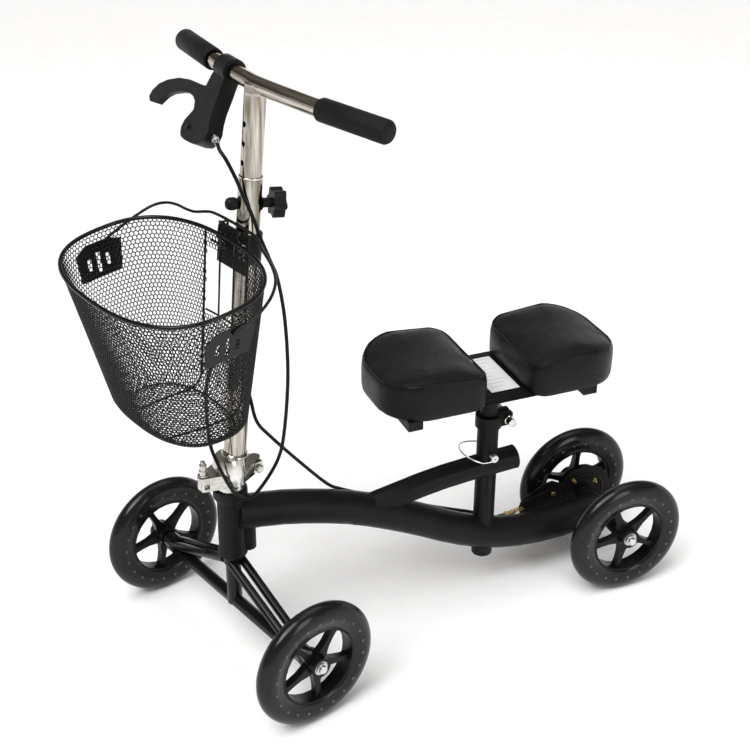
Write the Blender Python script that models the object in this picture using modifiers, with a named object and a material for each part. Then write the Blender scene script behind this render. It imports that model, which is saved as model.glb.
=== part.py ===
"""Knee scooter: four wheels, turning front truck, folding stem with a wire basket, and a knee rest.

Frame: +Z up, -Y forward, +X the scooter's left side, metres, the origin on the ground.
"""

from math import cos, pi, radians, sin

import bmesh
import bpy
from mathutils import Matrix, Vector

# Driving dimensions
WHEEL_RADIUS = 0.0953
WHEELBASE = 0.607
FRONT_TRACK = 0.388
REAR_TRACK = 0.1675
STEER_ANGLE = radians(16.2)
STEM_LEAN = radians(6.0)
STEM_FOOT_Z = 0.234
BAR_HEIGHT = 0.6184
BAR_TWIST = radians(-2.0)
SCREW_TURN = radians(-18.0)
SEAT_TUBE_Y = 0.4015
PAD_HALF_WIDTH = 0.0835
PLATE_TOP = 0.3752
BOARD_THICKNESS = 0.0038
PAD_TOP = 0.4356
# Where the centre of the whole object's footprint lies, seen from the steering axis.
FOOTPRINT_CENTRE = (-0.0172, 0.2516)

GAP = 0.0003
TUBE_SIDES = 3


def clear_scene():
    for obj in list(bpy.data.objects):
        bpy.data.objects.remove(obj, do_unlink=True)


def new_collection(name):
    collection = bpy.data.collections.new(name)
    bpy.context.scene.collection.children.link(collection)
    return collection


clear_scene()
PARTS = new_collection("knee_scooter")
CUTTERS = new_collection("cutters")
FINISHES = {}


def finish(name, colour, roughness, metallic=0.0):
    """A Principled material, made once and kept by name."""
    material = bpy.data.materials.new(name)
    material.use_nodes = True
    shader = material.node_tree.nodes["Principled BSDF"]
    shader.inputs["Base Color"].default_value = (*colour, 1.0)
    shader.inputs["Roughness"].default_value = roughness
    shader.inputs["Metallic"].default_value = metallic
    FINISHES[name] = material


finish("satin_black_paint", (0.018, 0.018, 0.018), 0.5)
finish("gloss_black_paint", (0.010, 0.010, 0.011), 0.16)
finish("chrome", (0.75, 0.75, 0.75), 0.07, 1.0)
finish("zinc", (0.60, 0.61, 0.62), 0.3, 1.0)
finish("brass", (0.62, 0.48, 0.16), 0.3, 1.0)
finish("steel", (0.45, 0.45, 0.46), 0.3, 1.0)
finish("wheel_plastic", (0.015, 0.015, 0.016), 0.35)
finish("tyre_polyurethane", (0.035, 0.036, 0.040), 0.15)
finish("grip_rubber", (0.020, 0.019, 0.018), 0.6)
finish("moulded_plastic", (0.018, 0.017, 0.016), 0.42)
finish("vinyl", (0.012, 0.012, 0.012), 0.4)
finish("cable_black", (0.010, 0.010, 0.010), 0.4)


def empty(name, location=(0, 0, 0), rotation=(0, 0, 0), parent=None):
    obj = bpy.data.objects.new(name, None)
    obj.empty_display_size = 0.03
    obj.location = location
    obj.rotation_euler = rotation
    obj.parent = parent
    PARTS.objects.link(obj)
    return obj


def mesh_object(name, mesh, parent, material=None, location=(0, 0, 0), rotation=(0, 0, 0)):
    """An object in the parts collection, or a hidden cutter when it has no material."""
    obj = bpy.data.objects.new(name, mesh)
    obj.location = location
    obj.rotation_euler = rotation
    obj.parent = parent
    if material:
        PARTS.objects.link(obj)
        mesh.materials.append(FINISHES[material])
    else:
        CUTTERS.objects.link(obj)
        obj.hide_render = True
        obj.display_type = "WIRE"
    mesh.shade_smooth()
    mesh.set_sharp_from_angle(angle=radians(35))
    return obj


def from_bmesh(name, bm, *where, **options):
    mesh = bpy.data.meshes.new(name)
    bm.to_mesh(mesh)
    bm.free()
    return mesh_object(name, mesh, *where, **options)


def combine(target, tool, operation):
    modifier = target.modifiers.new(operation.lower() + "_" + tool.name, "BOOLEAN")
    modifier.operation = operation
    modifier.object = tool
    return target


def union(target, *tools):
    for tool in tools:
        combine(target, tool, "UNION")
    return target


def cut(target, *tools):
    for tool in tools:
        combine(target, tool, "DIFFERENCE")
    return target


AXIS_TURN = {"X": (0, pi / 2, 0), "Y": (-pi / 2, 0, 0), "Z": (0, 0, 0)}


def rod(name, radius, start, end, parent, material=None, axis="Z", at=(0, 0), sides=24, end_radius=None):
    """A solid cylinder or cone along one axis, from start to end, at the given two cross coordinates."""
    bm = bmesh.new()
    bmesh.ops.create_cone(
        bm,
        cap_ends=True,
        segments=sides,
        radius1=radius,
        radius2=radius if end_radius is None else end_radius,
        depth=end - start,
    )
    middle = (start + end) / 2
    places = {"X": (middle, *at), "Y": (at[0], middle, at[1]), "Z": (*at, middle)}
    turn = Matrix.Rotation(pi / 2, 4, "Y") if axis == "X" else Matrix.Identity(4)
    turn = Matrix.Rotation(-pi / 2, 4, "X") if axis == "Y" else turn
    bmesh.ops.transform(bm, matrix=Matrix.Translation(places[axis]) @ turn, verts=bm.verts)
    return from_bmesh(name, bm, parent, material)


def rod_between(name, radius, start, end, parent, material=None, sides=16):
    """A solid cylinder between two points."""
    start, end = Vector(start), Vector(end)
    bm = bmesh.new()
    bmesh.ops.create_cone(
        bm, cap_ends=True, segments=sides, radius1=radius, radius2=radius, depth=(end - start).length
    )
    turn = (end - start).to_track_quat("Z", "Y").to_matrix().to_4x4()
    bmesh.ops.transform(bm, matrix=Matrix.Translation((start + end) / 2) @ turn, verts=bm.verts)
    return from_bmesh(name, bm, parent, material)


def block(name, low, high, parent, material=None, bevel=0.0):
    """A box between two corners, with its edges rounded by a Bevel modifier."""
    low, high = Vector(low), Vector(high)
    bm = bmesh.new()
    bmesh.ops.create_cube(bm, size=1.0)
    bmesh.ops.scale(bm, vec=high - low, verts=bm.verts)
    bmesh.ops.translate(bm, vec=(low + high) / 2, verts=bm.verts)
    obj = from_bmesh(name, bm, parent, material)
    if bevel:
        rounding = obj.modifiers.new("rounding", "BEVEL")
        rounding.width = bevel
        rounding.segments = 2
    return obj


def turned(name, profile, parent, material=None, axis="Z", centre=(0, 0, 0), steps=32):
    """A profile of (radius, height) pairs, listed down its outer side, turned round one axis."""
    bm = bmesh.new()
    points = [bm.verts.new((radius, 0, height)) for radius, height in profile]
    closed = profile[0][0] > 0
    for one, other in zip(points, points[1:] + points[:1] if closed else points[1:]):
        bm.edges.new((one, other))
    mesh = bpy.data.meshes.new(name)
    bm.to_mesh(mesh)
    bm.free()
    obj = mesh_object(name, mesh, parent, material, location=centre, rotation=AXIS_TURN[axis])
    screw = obj.modifiers.new("turning", "SCREW")
    screw.axis = "Z"
    screw.steps = steps
    screw.render_steps = steps
    screw.use_merge_vertices = True
    screw.merge_threshold = 0.00001
    screw.use_smooth_shade = True
    return obj


def curve_mesh(name, curve):
    """The closed mesh that a bevelled or extruded curve makes, with its caps welded on."""
    carrier = bpy.data.objects.new(name + "_curve", curve)
    bpy.context.scene.collection.objects.link(carrier)
    graph = bpy.context.evaluated_depsgraph_get()
    mesh = bpy.data.meshes.new_from_object(carrier.evaluated_get(graph))
    bpy.data.objects.remove(carrier, do_unlink=True)
    bm = bmesh.new()
    bm.from_mesh(mesh)
    bmesh.ops.remove_doubles(bm, verts=bm.verts, dist=0.00001)
    bmesh.ops.recalc_face_normals(bm, faces=bm.faces)
    bm.to_mesh(mesh)
    bm.free()
    mesh.name = name
    mesh.materials.clear()
    return mesh


def pipe(name, points, radius, parent, material=None, cyclic=False, sides=TUBE_SIDES):
    """A round bar swept along points."""
    curve = bpy.data.curves.new(name, "CURVE")
    curve.dimensions = "3D"
    curve.bevel_depth = radius
    curve.bevel_resolution = sides
    curve.use_fill_caps = not cyclic
    spline = curve.splines.new("POLY")
    spline.points.add(len(points) - 1)
    spline.use_cyclic_u = cyclic
    for point, place in zip(spline.points, points):
        point.co = (*place, 1.0)
    return mesh_object(name, curve_mesh(name, curve), parent, material)


def smooth_path(points, count):
    """Points read evenly from a Catmull-Rom curve through the given ones."""
    points = [Vector(point) for point in points]
    padded = [2 * points[0] - points[1], *points, 2 * points[-1] - points[-2]]
    dense = []
    for p0, p1, p2, p3 in zip(padded, padded[1:], padded[2:], padded[3:]):
        for step in range(24):
            t = step / 24
            bend = 2 * p1 + (p2 - p0) * t + (2 * p0 - 5 * p1 + 4 * p2 - p3) * t * t
            dense.append((bend + (3 * p1 - p0 - 3 * p2 + p3) * t**3) / 2)
    dense.append(points[-1])
    reach = [0.0]
    for one, other in zip(dense, dense[1:]):
        reach.append(reach[-1] + (other - one).length)
    path, at = [], 0
    for number in range(count):
        goal = reach[-1] * number / (count - 1)
        while at < len(dense) - 2 and reach[at + 1] < goal:
            at += 1
        share = (goal - reach[at]) / (reach[at + 1] - reach[at])
        path.append(dense[at].lerp(dense[at + 1], share))
    return path


def plate(name, outline, thickness, parent, material=None, frame=Matrix.Identity(4)):
    """A flat outline extruded to both sides of its plane; frame places that plane."""
    curve = bpy.data.curves.new(name, "CURVE")
    curve.dimensions = "2D"
    curve.fill_mode = "BOTH"
    curve.extrude = thickness / 2
    spline = curve.splines.new("POLY")
    spline.points.add(len(outline) - 1)
    spline.use_cyclic_u = True
    for point, place in zip(spline.points, outline):
        point.co = (*place, 0.0, 1.0)
    mesh = curve_mesh(name, curve)
    mesh.transform(frame)
    return mesh_object(name, mesh, parent, material)


def arc(centre, radius, start, end, count):
    """Points of a circular arc, angles in degrees."""
    angles = [radians(start + (end - start) * number / (count - 1)) for number in range(count)]
    return [(centre[0] + radius * cos(angle), centre[1] + radius * sin(angle)) for angle in angles]


def plane(origin, along, up):
    """A matrix whose X runs along one direction, Y along the other and Z out of their plane."""
    along, up = Vector(along).normalized(), Vector(up).normalized()
    out = along.cross(up)
    matrix = Matrix((along, up, out)).transposed().to_4x4()
    matrix.translation = origin
    return matrix


SIDE_VIEW = plane((0, 0, 0), (0, 1, 0), (0, 0, 1))

SCOOTER = empty("scooter", (-FOOTPRINT_CENTRE[0], -FOOTPRINT_CENTRE[1], 0))
STEERING = empty("steering_axis", rotation=(0, 0, STEER_ANGLE), parent=SCOOTER)
STEM = empty("stem_axis", (0, 0, STEM_FOOT_Z), (-STEM_LEAN, 0, 0), STEERING)
SCREW = empty("height_screw", rotation=(0, 0, SCREW_TURN), parent=STEM)

# Frame

TUBE_RADIUS = 0.0252
HEAD_TOP = 0.2640
HEAD_BOTTOM = 0.1716
BACKBONE = [
    (0, 0.008, 0.2365), (0, 0.039, 0.2335), (0, 0.0845, 0.2270), (0, 0.1303, 0.2163),
    (0, 0.1640, 0.2070), (0, 0.1948, 0.1965), (0, 0.2414, 0.1765), (0, 0.2942, 0.1510),
    (0, 0.3348, 0.1290), (0, 0.3798, 0.1085), (0, 0.4201, 0.0950), (0, 0.4678, 0.0862),
    (0, 0.5123, 0.0840), (0, 0.5570, 0.0865), (0, 0.6030, 0.0950),
]
BRANCH = [
    (0, 0.1800, 0.1900), (0, 0.2400, 0.2020), (0, 0.3100, 0.2155), (0, 0.3700, 0.2220), (0, 0.4475, 0.2268),
]
BRANCH_RADIUS = 0.0190
SEAT_TUBE_RADIUS = 0.0160
SEAT_TUBE_TOP = 0.3085
SEAT_TUBE_BOTTOM = 0.0640
AXLE_TUBE_LEFT = 0.0655
AXLE_TUBE_RIGHT = -0.0430
PIN_Z = 0.2480


def build_frame():
    frame = turned(
        "frame",
        [
            (0.0195, HEAD_TOP), (0.0195, HEAD_BOTTOM + 0.0120), (0.0215, HEAD_BOTTOM + 0.0040),
            (0.0215, HEAD_BOTTOM), (0.0150, HEAD_BOTTOM), (0.0150, HEAD_TOP),
        ],
        SCOOTER,
        "satin_black_paint",
        steps=28,
    )
    backbone = pipe("backbone", smooth_path(BACKBONE, 19), TUBE_RADIUS, SCOOTER, sides=4)
    branch = pipe("branch", smooth_path(BRANCH, 8), BRANCH_RADIUS, SCOOTER)
    seat_tube = rod(
        "seat_tube", SEAT_TUBE_RADIUS, SEAT_TUBE_BOTTOM, SEAT_TUBE_TOP, SCOOTER, at=(0, SEAT_TUBE_Y), sides=28
    )
    axle_tube = rod(
        "axle_tube", 0.0140, AXLE_TUBE_RIGHT, AXLE_TUBE_LEFT, SCOOTER, axis="X", at=(WHEELBASE, WHEEL_RADIUS)
    )
    boss = rod("stop_boss", 0.0115, 0.1745, 0.2150, SCOOTER, at=(0, 0.0235), sides=20)
    union(frame, backbone, branch, seat_tube, axle_tube, boss)
    head_bore = rod("head_bore", 0.0150, HEAD_BOTTOM - 0.01, HEAD_TOP + 0.01, SCOOTER, sides=28)
    seat_bore = rod(
        "seat_bore", 0.0139, SEAT_TUBE_BOTTOM - 0.01, SEAT_TUBE_TOP + 0.01, SCOOTER, at=(0, SEAT_TUBE_Y),
    )
    axle_bore = rod(
        "axle_bore", 0.0046, AXLE_TUBE_RIGHT - 0.01, AXLE_TUBE_LEFT + 0.01, SCOOTER,
        axis="X", at=(WHEELBASE, WHEEL_RADIUS), sides=16,
    )
    plug_bore = rod_between(
        "plug_bore", 0.0165, (0, 0.4335, 0.22593), (0, 0.4600, 0.22758), SCOOTER, sides=20,
    )
    pin_bore = rod("pin_bore", 0.0034, -0.03, 0.03, SCOOTER, axis="X", at=(SEAT_TUBE_Y, PIN_Z), sides=12)
    return cut(frame, head_bore, seat_bore, axle_bore, plug_bore, pin_bore)


def build_frame_fittings():
    turned(
        "branch_end_plug",
        [
            (0.0, 0.0040), (0.0110, 0.0036), (0.0178, 0.0020), (0.0187, 0.0010), (0.0160, 0.0010),
            (0.0160, -0.0110),
            (0.0, -0.0110),
        ],
        empty("plug_axis", (0, 0.4475, 0.2268), (-pi / 2 + 0.062, 0, 0), SCOOTER),
        "moulded_plastic",
        steps=24,
    )
    for name, low in (("headset_bearing_upper", 0.2500), ("headset_bearing_lower", 0.1730)):
        turned(
            name,
            [(0.0147, low + 0.012), (0.0147, low), (0.0115, low), (0.0115, low + 0.012)],
            SCOOTER,
            "steel",
            steps=24,
        )
    turned(
        "rear_axle",
        [
            (0.0, 0.1075), (0.0055, 0.1075), (0.0066, 0.1062), (0.0066, 0.1020), (0.0085, 0.1020),
            (0.0085, 0.1006),
            (0.0039, 0.1006), (0.0039, -0.1006), (0.0085, -0.1006), (0.0085, -0.1020), (0.0066, -0.1020),
            (0.0066, -0.1062), (0.0055, -0.1075), (0.0, -0.1075),
        ],
        SCOOTER,
        "zinc",
        axis="X",
        centre=(0, WHEELBASE, WHEEL_RADIUS),
        steps=12,
    )


# Seat clamp, safety pin

COLLAR_LOW = 0.2925
COLLAR_HIGH = 0.3125
EAR_Y = SEAT_TUBE_Y + 0.0275
CLAMP_Z = (COLLAR_LOW + COLLAR_HIGH) / 2


def build_seat_clamp():
    collar = rod(
        "seat_clamp_collar", 0.0200, COLLAR_LOW, COLLAR_HIGH, SCOOTER, "satin_black_paint",
        at=(0, SEAT_TUBE_Y),
    )
    ears = block(
        "clamp_ears", (-0.0110, SEAT_TUBE_Y + 0.010, COLLAR_LOW), (0.0110, EAR_Y + 0.0070, COLLAR_HIGH),
        SCOOTER,
    )
    union(collar, ears)
    bore = rod(
        "collar_bore", SEAT_TUBE_RADIUS + GAP, COLLAR_LOW - 0.01, SEAT_TUBE_TOP + 0.0003, SCOOTER,
        at=(0, SEAT_TUBE_Y), sides=28,
    )
    lip = rod("collar_lip", 0.0140, COLLAR_LOW, COLLAR_HIGH + 0.01, SCOOTER, at=(0, SEAT_TUBE_Y))
    split = block(
        "collar_split", (-0.0016, SEAT_TUBE_Y, COLLAR_LOW - 0.01), (0.0016, EAR_Y + 0.02, COLLAR_HIGH + 0.01),
        SCOOTER,
    )
    hole = rod("ear_hole", 0.0034, -0.03, 0.03, SCOOTER, axis="X", at=(EAR_Y, CLAMP_Z), sides=12)
    cut(collar, bore, lip, split, hole)
    turned(
        "seat_clamp_bolt",
        [
            (0.0, 0.0255), (0.0042, 0.0255), (0.0065, 0.0245), (0.0065, 0.0150), (0.0078, 0.0140),
            (0.0078, 0.0113),
            (0.0030, 0.0113), (0.0030, -0.0330), (0.0, -0.0330),
        ],
        SCOOTER,
        "chrome",
        axis="X",
        centre=(0, EAR_Y, CLAMP_Z),
        steps=16,
    )
    lever_axis = empty("seat_clamp_lever_axis", (0, EAR_Y, CLAMP_Z), parent=SCOOTER)
    lever = rod("seat_clamp_lever", 0.0085, -0.0290, -0.0113, lever_axis, "chrome", axis="X", sides=20)
    blade = block("clamp_blade", (-0.0288, -0.0060, 0.0), (-0.0248, 0.0060, 0.0480), lever_axis, bevel=0.0015)
    blade.rotation_euler = (radians(62), 0, 0)
    union(lever, blade)
    cut(lever, rod("lever_bore", 0.0033, -0.04, 0.0, lever_axis, axis="X", sides=12))


def build_safety_pin():
    pin_axis = empty("safety_pin_axis", (0, SEAT_TUBE_Y, PIN_Z), parent=SCOOTER)
    turned(
        "safety_pin",
        [
            (0.0, 0.0250), (0.0040, 0.0250), (0.0048, 0.0240), (0.0048, 0.0168), (0.0030, 0.0168),
            (0.0030, -0.0240),
            (0.0022, -0.0250), (0.0, -0.0250),
        ],
        pin_axis,
        "zinc",
        axis="X",
        steps=16,
    )
    loop = [
        (0.0262, -0.0035, -0.0040), (0.0262, -0.0180, -0.0035), (0.0240, -0.0300, 0.0020),
        (0.0150, -0.0415, 0.0080),
        (0.0020, -0.0460, 0.0120), (-0.0130, -0.0400, 0.0120), (-0.0225, -0.0270, 0.0085),
        (-0.0262, -0.0120, 0.0040),
        (-0.0272, 0.0, 0.0005),
    ]
    hoop = pipe("pin_loop", smooth_path(loop, 16), 0.0011, pin_axis, "zinc", sides=1)
    eye = turned(
        "loop_eye",
        [(0.0058, 0.0275), (0.0058, 0.0253), (0.0012, 0.0253), (0.0012, 0.0275)],
        pin_axis,
        axis="X",
        steps=16,
    )
    union(hoop, eye)


# Front truck

CROSS_Z = 0.0870
CARRIER_IN = 0.1480
CARRIER_OUT = FRONT_TRACK / 2 - 0.0180


def build_front_truck():
    truck = rod("front_truck", 0.0110, CROSS_Z - 0.004, 0.2860, STEERING, "gloss_black_paint", sides=24)
    crown = rod("crown", 0.0150, 0.1560, 0.1705, STEERING, sides=24)
    cross = rod(
        "cross_tube", 0.0098, -CARRIER_OUT + 0.004, CARRIER_OUT - 0.004, STEERING, axis="X", at=(0, CROSS_Z),
        sides=20,
    )
    union(truck, crown, cross)
    for side in (-1, 1):
        ends = sorted((side * CARRIER_IN, side * CARRIER_OUT))
        carrier = rod("hub_carrier", 0.0125, *ends, STEERING, axis="X", at=(0, WHEEL_RADIUS), sides=20)
        union(truck, carrier)
        for row in (-1, 1):
            strut = rod_between(
                "strut", 0.0064, (side * 0.008, row * 0.0095, 0.1590), (side * 0.156, row * 0.0085, 0.0980), STEERING, sides=14
            )
            union(truck, strut)
        hole = rod("carrier_bore", 0.0042, *sorted((side * (CARRIER_IN + 0.004), side * 0.2)), STEERING,
                   axis="X", at=(0, WHEEL_RADIUS), sides=12)
        cut(truck, hole)
    return truck


def build_front_axle(name, side):
    turned(
        name,
        [
            (0.0, 0.0220), (0.0052, 0.0220), (0.0065, 0.0208), (0.0065, 0.0168 + GAP), (0.0085, 0.0168 + GAP),
            (0.0085, 0.0163),
            (0.0039, 0.0163), (0.0039, -0.0400), (0.0, -0.0400),
        ],
        empty(
            name + "_axis", (side * FRONT_TRACK / 2, 0, WHEEL_RADIUS), (0, 0, 0 if side > 0 else pi),
            STEERING,
        ),
        "zinc",
        axis="X",
        steps=12,
    )


# Wheels

RIM_OUT = 0.0593
RIM_IN = 0.0570
RIM_WIDTH = 0.0230
TYRE_IN = RIM_OUT + 2 * GAP
HUB_RADIUS = 0.0155
HUB_HALF = 0.0160
SPOKES = 5


def spoke_outline():
    """One spoke, narrow in the middle and spreading into the hub and the rim."""
    half = [(0.0060, 0.0115), (0.0180, 0.0078), (0.0300, 0.0048), (0.0440, 0.0040), (0.0575, 0.0052)]
    return [(reach, width) for reach, width in half] + [(reach, -width) for reach, width in reversed(half)]


def build_wheel(name, parent, location, turn):
    axis = empty(name + "_axis", location, (0, 0, 0), parent)
    half = RIM_WIDTH / 2
    rim = turned(
        "rim_" + name,
        [(RIM_OUT, half), (RIM_OUT, -half), (RIM_IN, -half), (RIM_IN - 0.0012, 0.0), (RIM_IN, half)],
        axis,
        "wheel_plastic",
        axis="X",
        steps=28,
    )
    hub = rod("hub", HUB_RADIUS, -HUB_HALF, HUB_HALF, axis, axis="X", sides=16)
    union(rim, hub)
    for number in range(SPOKES):
        angle = turn + 2 * pi * number / SPOKES
        frame = plane((0, 0, 0), (0, cos(angle), sin(angle)), (0, -sin(angle), cos(angle)))
        union(rim, plate("spoke", spoke_outline(), 0.0110, axis, frame=frame))
    cut(rim, rod("hub_bore", 0.0113, -0.03, 0.03, axis, axis="X", sides=16))
    tread = [(0.0772 + 0.0181 * x, 0.0145 * y) for x, y in arc((0.0, 0.0), 1.0, 125, -125, 11)]
    turned(
        "tyre_" + name,
        [(TYRE_IN, half - 0.0010), *tread, (TYRE_IN, 0.0010 - half)],
        axis,
        "tyre_polyurethane",
        axis="X",
        steps=36,
    )
    bearing_face = 0.0155 if location[0] > 0 else -0.0085
    turned(
        "bearing_" + name,
        [
            (0.0110, bearing_face), (0.0110, bearing_face - 0.007), (0.0042, bearing_face - 0.007),
            (0.0042, bearing_face),
        ],
        axis,
        "steel",
        axis="X",
        steps=20,
    )
    return axis


# Folding clamp and stem

FOLD_Y = 0.0420
FOLD_Z = 0.3020
LATCH_Y = -0.0420
LATCH_Z = 0.3020
PARTING_Z = 0.3060
CLAMP_BOTTOM = 0.2835
STEM_RADIUS = 0.0159
STEM_TUBE_LENGTH = 0.4985
STEM_TUBE_START = 0.0850


def clamp_outline(radius, ear_front, ear_rear, ear_half):
    """A round body drawn out into a front and a rear ear."""
    front = arc((ear_front, 0), ear_half, 90, 270, 7)
    rear = arc((ear_rear, 0), ear_half, -90, 90, 7)
    below = arc((0, 0), radius, -125, -55, 7)
    above = arc((0, 0), radius, 55, 125, 7)
    return [(-y, x) for x, y in front + below + rear + above]


def build_folding_clamp():
    lower = turned(
        "stem_clamp_lower",
        [
            (0.0225, PARTING_Z - GAP), (0.0225, 0.2960), (0.0205, 0.2880), (0.0205, CLAMP_BOTTOM + 0.0002),
            (0.0113, CLAMP_BOTTOM + 0.0002), (0.0113, PARTING_Z - GAP),
        ],
        STEERING,
        "chrome",
        steps=24,
    )
    ears = clamp_outline(0.0240, LATCH_Y, FOLD_Y, 0.0085)
    lower_ears = plate(
        "lower_ears", ears, 0.0110, STEERING, frame=Matrix.Translation((0, 0, PARTING_Z - GAP - 0.0055)),
    )
    lower_rear = rod(
        "lower_knuckle", 0.0075, -0.0055, 0.0055, STEERING, axis="X", at=(FOLD_Y, FOLD_Z), sides=20,
    )
    post_bore = rod("clamp_post_bore", 0.0113, 0.27, 0.2865, STEERING, sides=24)
    union(lower, lower_ears, lower_rear)
    slot = block(
        "latch_slot", (-0.0200, LATCH_Y - 0.0036, LATCH_Z - 0.0036), (0.0200, LATCH_Y + 0.0036, 0.32),
        STEERING,
    )
    fork = block(
        "latch_fork_room", (-0.0050, LATCH_Y - 0.02, 0.28), (0.0050, LATCH_Y + 0.0105, 0.32), STEERING,
    )
    knuckle_hole = rod(
        "lower_knuckle_hole", 0.0034, -0.02, 0.02, STEERING, axis="X", at=(FOLD_Y, FOLD_Z), sides=14,
    )
    room_left = rod(
        "knuckle_room_left", 0.0090, 0.0058, 0.02, STEERING, axis="X", at=(FOLD_Y, FOLD_Z), sides=20,
    )
    room_right = rod(
        "knuckle_room_right", 0.0090, -0.02, -0.0058, STEERING, axis="X", at=(FOLD_Y, FOLD_Z), sides=20,
    )
    cut(lower, post_bore, slot, fork, knuckle_hole, room_left, room_right)

    upper = turned(
        "stem_clamp_upper",
        [
            (0.0190, 0.3340), (0.0215, 0.3290), (0.0235, 0.3180), (0.0250, 0.3110), (0.0250, PARTING_Z),
            (0.0, PARTING_Z), (0.0, 0.3340),
        ],
        STEERING,
        "chrome",
        steps=24,
    )
    upper_ears = plate(
        "upper_ears", ears, 0.0100, STEERING, frame=Matrix.Translation((0, 0, PARTING_Z + 0.0050)),
    )
    union(upper, upper_ears)
    for side in (-1, 1):
        ends = sorted((side * 0.0061, side * 0.0120))
        cheek = rod("upper_knuckle", 0.0080, *ends, STEERING, axis="X", at=(FOLD_Y, FOLD_Z), sides=20)
        web = block(
            "knuckle_web", (ends[0], FOLD_Y - 0.0060, FOLD_Z), (ends[1], FOLD_Y + 0.0060, PARTING_Z + 0.006),
            STEERING,
        )
        union(upper, cheek, web)
    tongue = block(
        "latch_tongue", (-0.0046, LATCH_Y - 0.0070, LATCH_Z - 0.0060),
        (0.0046, LATCH_Y + 0.0070, PARTING_Z + 0.004), STEERING,
    )
    union(upper, tongue)
    knuckle_bore = rod(
        "upper_knuckle_hole", 0.0034, -0.02, 0.02, STEERING, axis="X", at=(FOLD_Y, FOLD_Z), sides=14,
    )
    latch_bore = rod("latch_bore", 0.0031, -0.02, 0.02, STEERING, axis="X", at=(LATCH_Y, LATCH_Z), sides=14)
    middle_room = block(
        "knuckle_room", (-0.0058, FOLD_Y - 0.0095, FOLD_Z - 0.01), (0.0058, FOLD_Y + 0.012, 0.3105), STEERING,
    )
    socket = rod("stem_socket", STEM_RADIUS + GAP, STEM_TUBE_START - GAP, 0.12, STEM, sides=28)
    cut(upper, knuckle_bore, latch_bore, middle_room, socket)

    turned(
        "fold_pin",
        [
            (0.0, 0.0170), (0.0040, 0.0170), (0.0058, 0.0156), (0.0058, 0.0123), (0.0031, 0.0123),
            (0.0031, -0.0123),
            (0.0055, -0.0123), (0.0055, -0.0160), (0.0, -0.0160),
        ],
        STEERING,
        "chrome",
        axis="X",
        centre=(0, FOLD_Y, FOLD_Z),
        steps=16,
    )
    latch_axis = empty("latch_axis", (0, LATCH_Y, LATCH_Z), parent=STEERING)
    latch = rod("latch_lever", 0.0028, -0.0210, 0.0190, latch_axis, "chrome", axis="X", sides=14)
    cam = rod("latch_cam", 0.0075, -0.0210, -0.0123, latch_axis, axis="X", sides=18)
    nut = rod("latch_nut", 0.0060, 0.0123, 0.0190, latch_axis, axis="X", sides=6)
    blade = block("latch_blade", (-0.0205, -0.0055, 0.0), (-0.0160, 0.0055, 0.0430), latch_axis, bevel=0.0015)
    union(latch, cam, nut, blade)


def build_stem():
    tube = turned(
        "stem_tube",
        [
            (STEM_RADIUS, STEM_TUBE_LENGTH), (STEM_RADIUS, STEM_TUBE_START), (0.0146, STEM_TUBE_START),
            (0.0146, STEM_TUBE_LENGTH),
        ],
        STEM,
        "chrome",
        steps=32,
    )
    hole = rod("screw_hole", 0.0040, -0.03, 0.03, SCREW, axis="Y", at=(0, KNOB_U), sides=12)
    cut(tube, hole)
    turned(
        "stem_sleeve",
        [
            (0.0163, STEM_TUBE_LENGTH + 0.0028), (0.0163, STEM_TUBE_LENGTH + GAP),
            (0.0146, STEM_TUBE_LENGTH + GAP),
            (0.0146, STEM_TUBE_LENGTH + 0.0028),
        ],
        STEM,
        "chrome",
        steps=32,
    )


KNOB_U = 0.4640
UPPER_TUBE_RADIUS = 0.0143


def build_height_screw():
    cap_axis = empty("height_cap_axis", (0, -STEM_RADIUS, KNOB_U), (pi / 2, 0, 0), SCREW)
    turned(
        "height_bolt",
        [
            (0.0, 0.0160), (0.0040, 0.0155), (0.0070, 0.0135), (0.0085, 0.0095), (0.0085, 0.0040),
            (0.0070, 0.0003),
            (0.0036, 0.0003), (0.0036, -0.0012), (0.0, -0.0012),
        ],
        cap_axis,
        "moulded_plastic",
        steps=20,
    )
    knob_axis = empty("height_knob_axis", (0, STEM_RADIUS, KNOB_U), (-pi / 2, 0, 0), SCREW)
    knob = turned(
        "height_knob",
        [
            (0.0, 0.0180), (0.0065, 0.0180), (0.0065, 0.0012), (0.0095, 0.0006), (0.0095, 0.0003),
            (0.0036, 0.0003),
            (0.0036, -0.0012), (0.0, -0.0012),
        ],
        knob_axis,
        "moulded_plastic",
        steps=18,
    )
    lobes = 6
    outline = []
    for number in range(lobes * 6):
        angle = 2 * pi * number / (lobes * 6)
        reach = 0.0175 + 0.0028 * cos(lobes * angle)
        outline.append((reach * cos(angle), reach * sin(angle)))
    head = plate("knob_head", outline, 0.0160, knob_axis, frame=Matrix.Translation((0, 0, 0.0215)))
    union(knob, head)


# Basket bracket

BRACKET_LOW = 0.3780
BRACKET_HIGH = 0.4330


def build_bracket():
    ring = rod(
        "basket_bracket", 0.0200, BRACKET_LOW + 0.008, BRACKET_HIGH - 0.008, STEM, "moulded_plastic",
        sides=28,
    )
    face = block("bracket_face", (-0.0340, -0.0225, BRACKET_LOW), (0.0340, -0.0195, BRACKET_HIGH), STEM)
    spine = block(
        "bracket_spine", (-0.0110, -0.0200, BRACKET_LOW + 0.008), (0.0110, -0.0120, BRACKET_HIGH - 0.008),
        STEM,
    )
    union(ring, spine, face)
    cut(ring, rod("bracket_bore", STEM_RADIUS + GAP, BRACKET_LOW - 0.02, BRACKET_HIGH + 0.02, STEM, sides=28))


# Handlebar

BAR_RADIUS = 0.0111
GRIP_BORE = BAR_RADIUS + 0.0006
GRIP_IN = 0.1205
CLAMPED_SPAN = (0.0500, 0.0950)
GRIP_OUT = 0.2290


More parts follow.
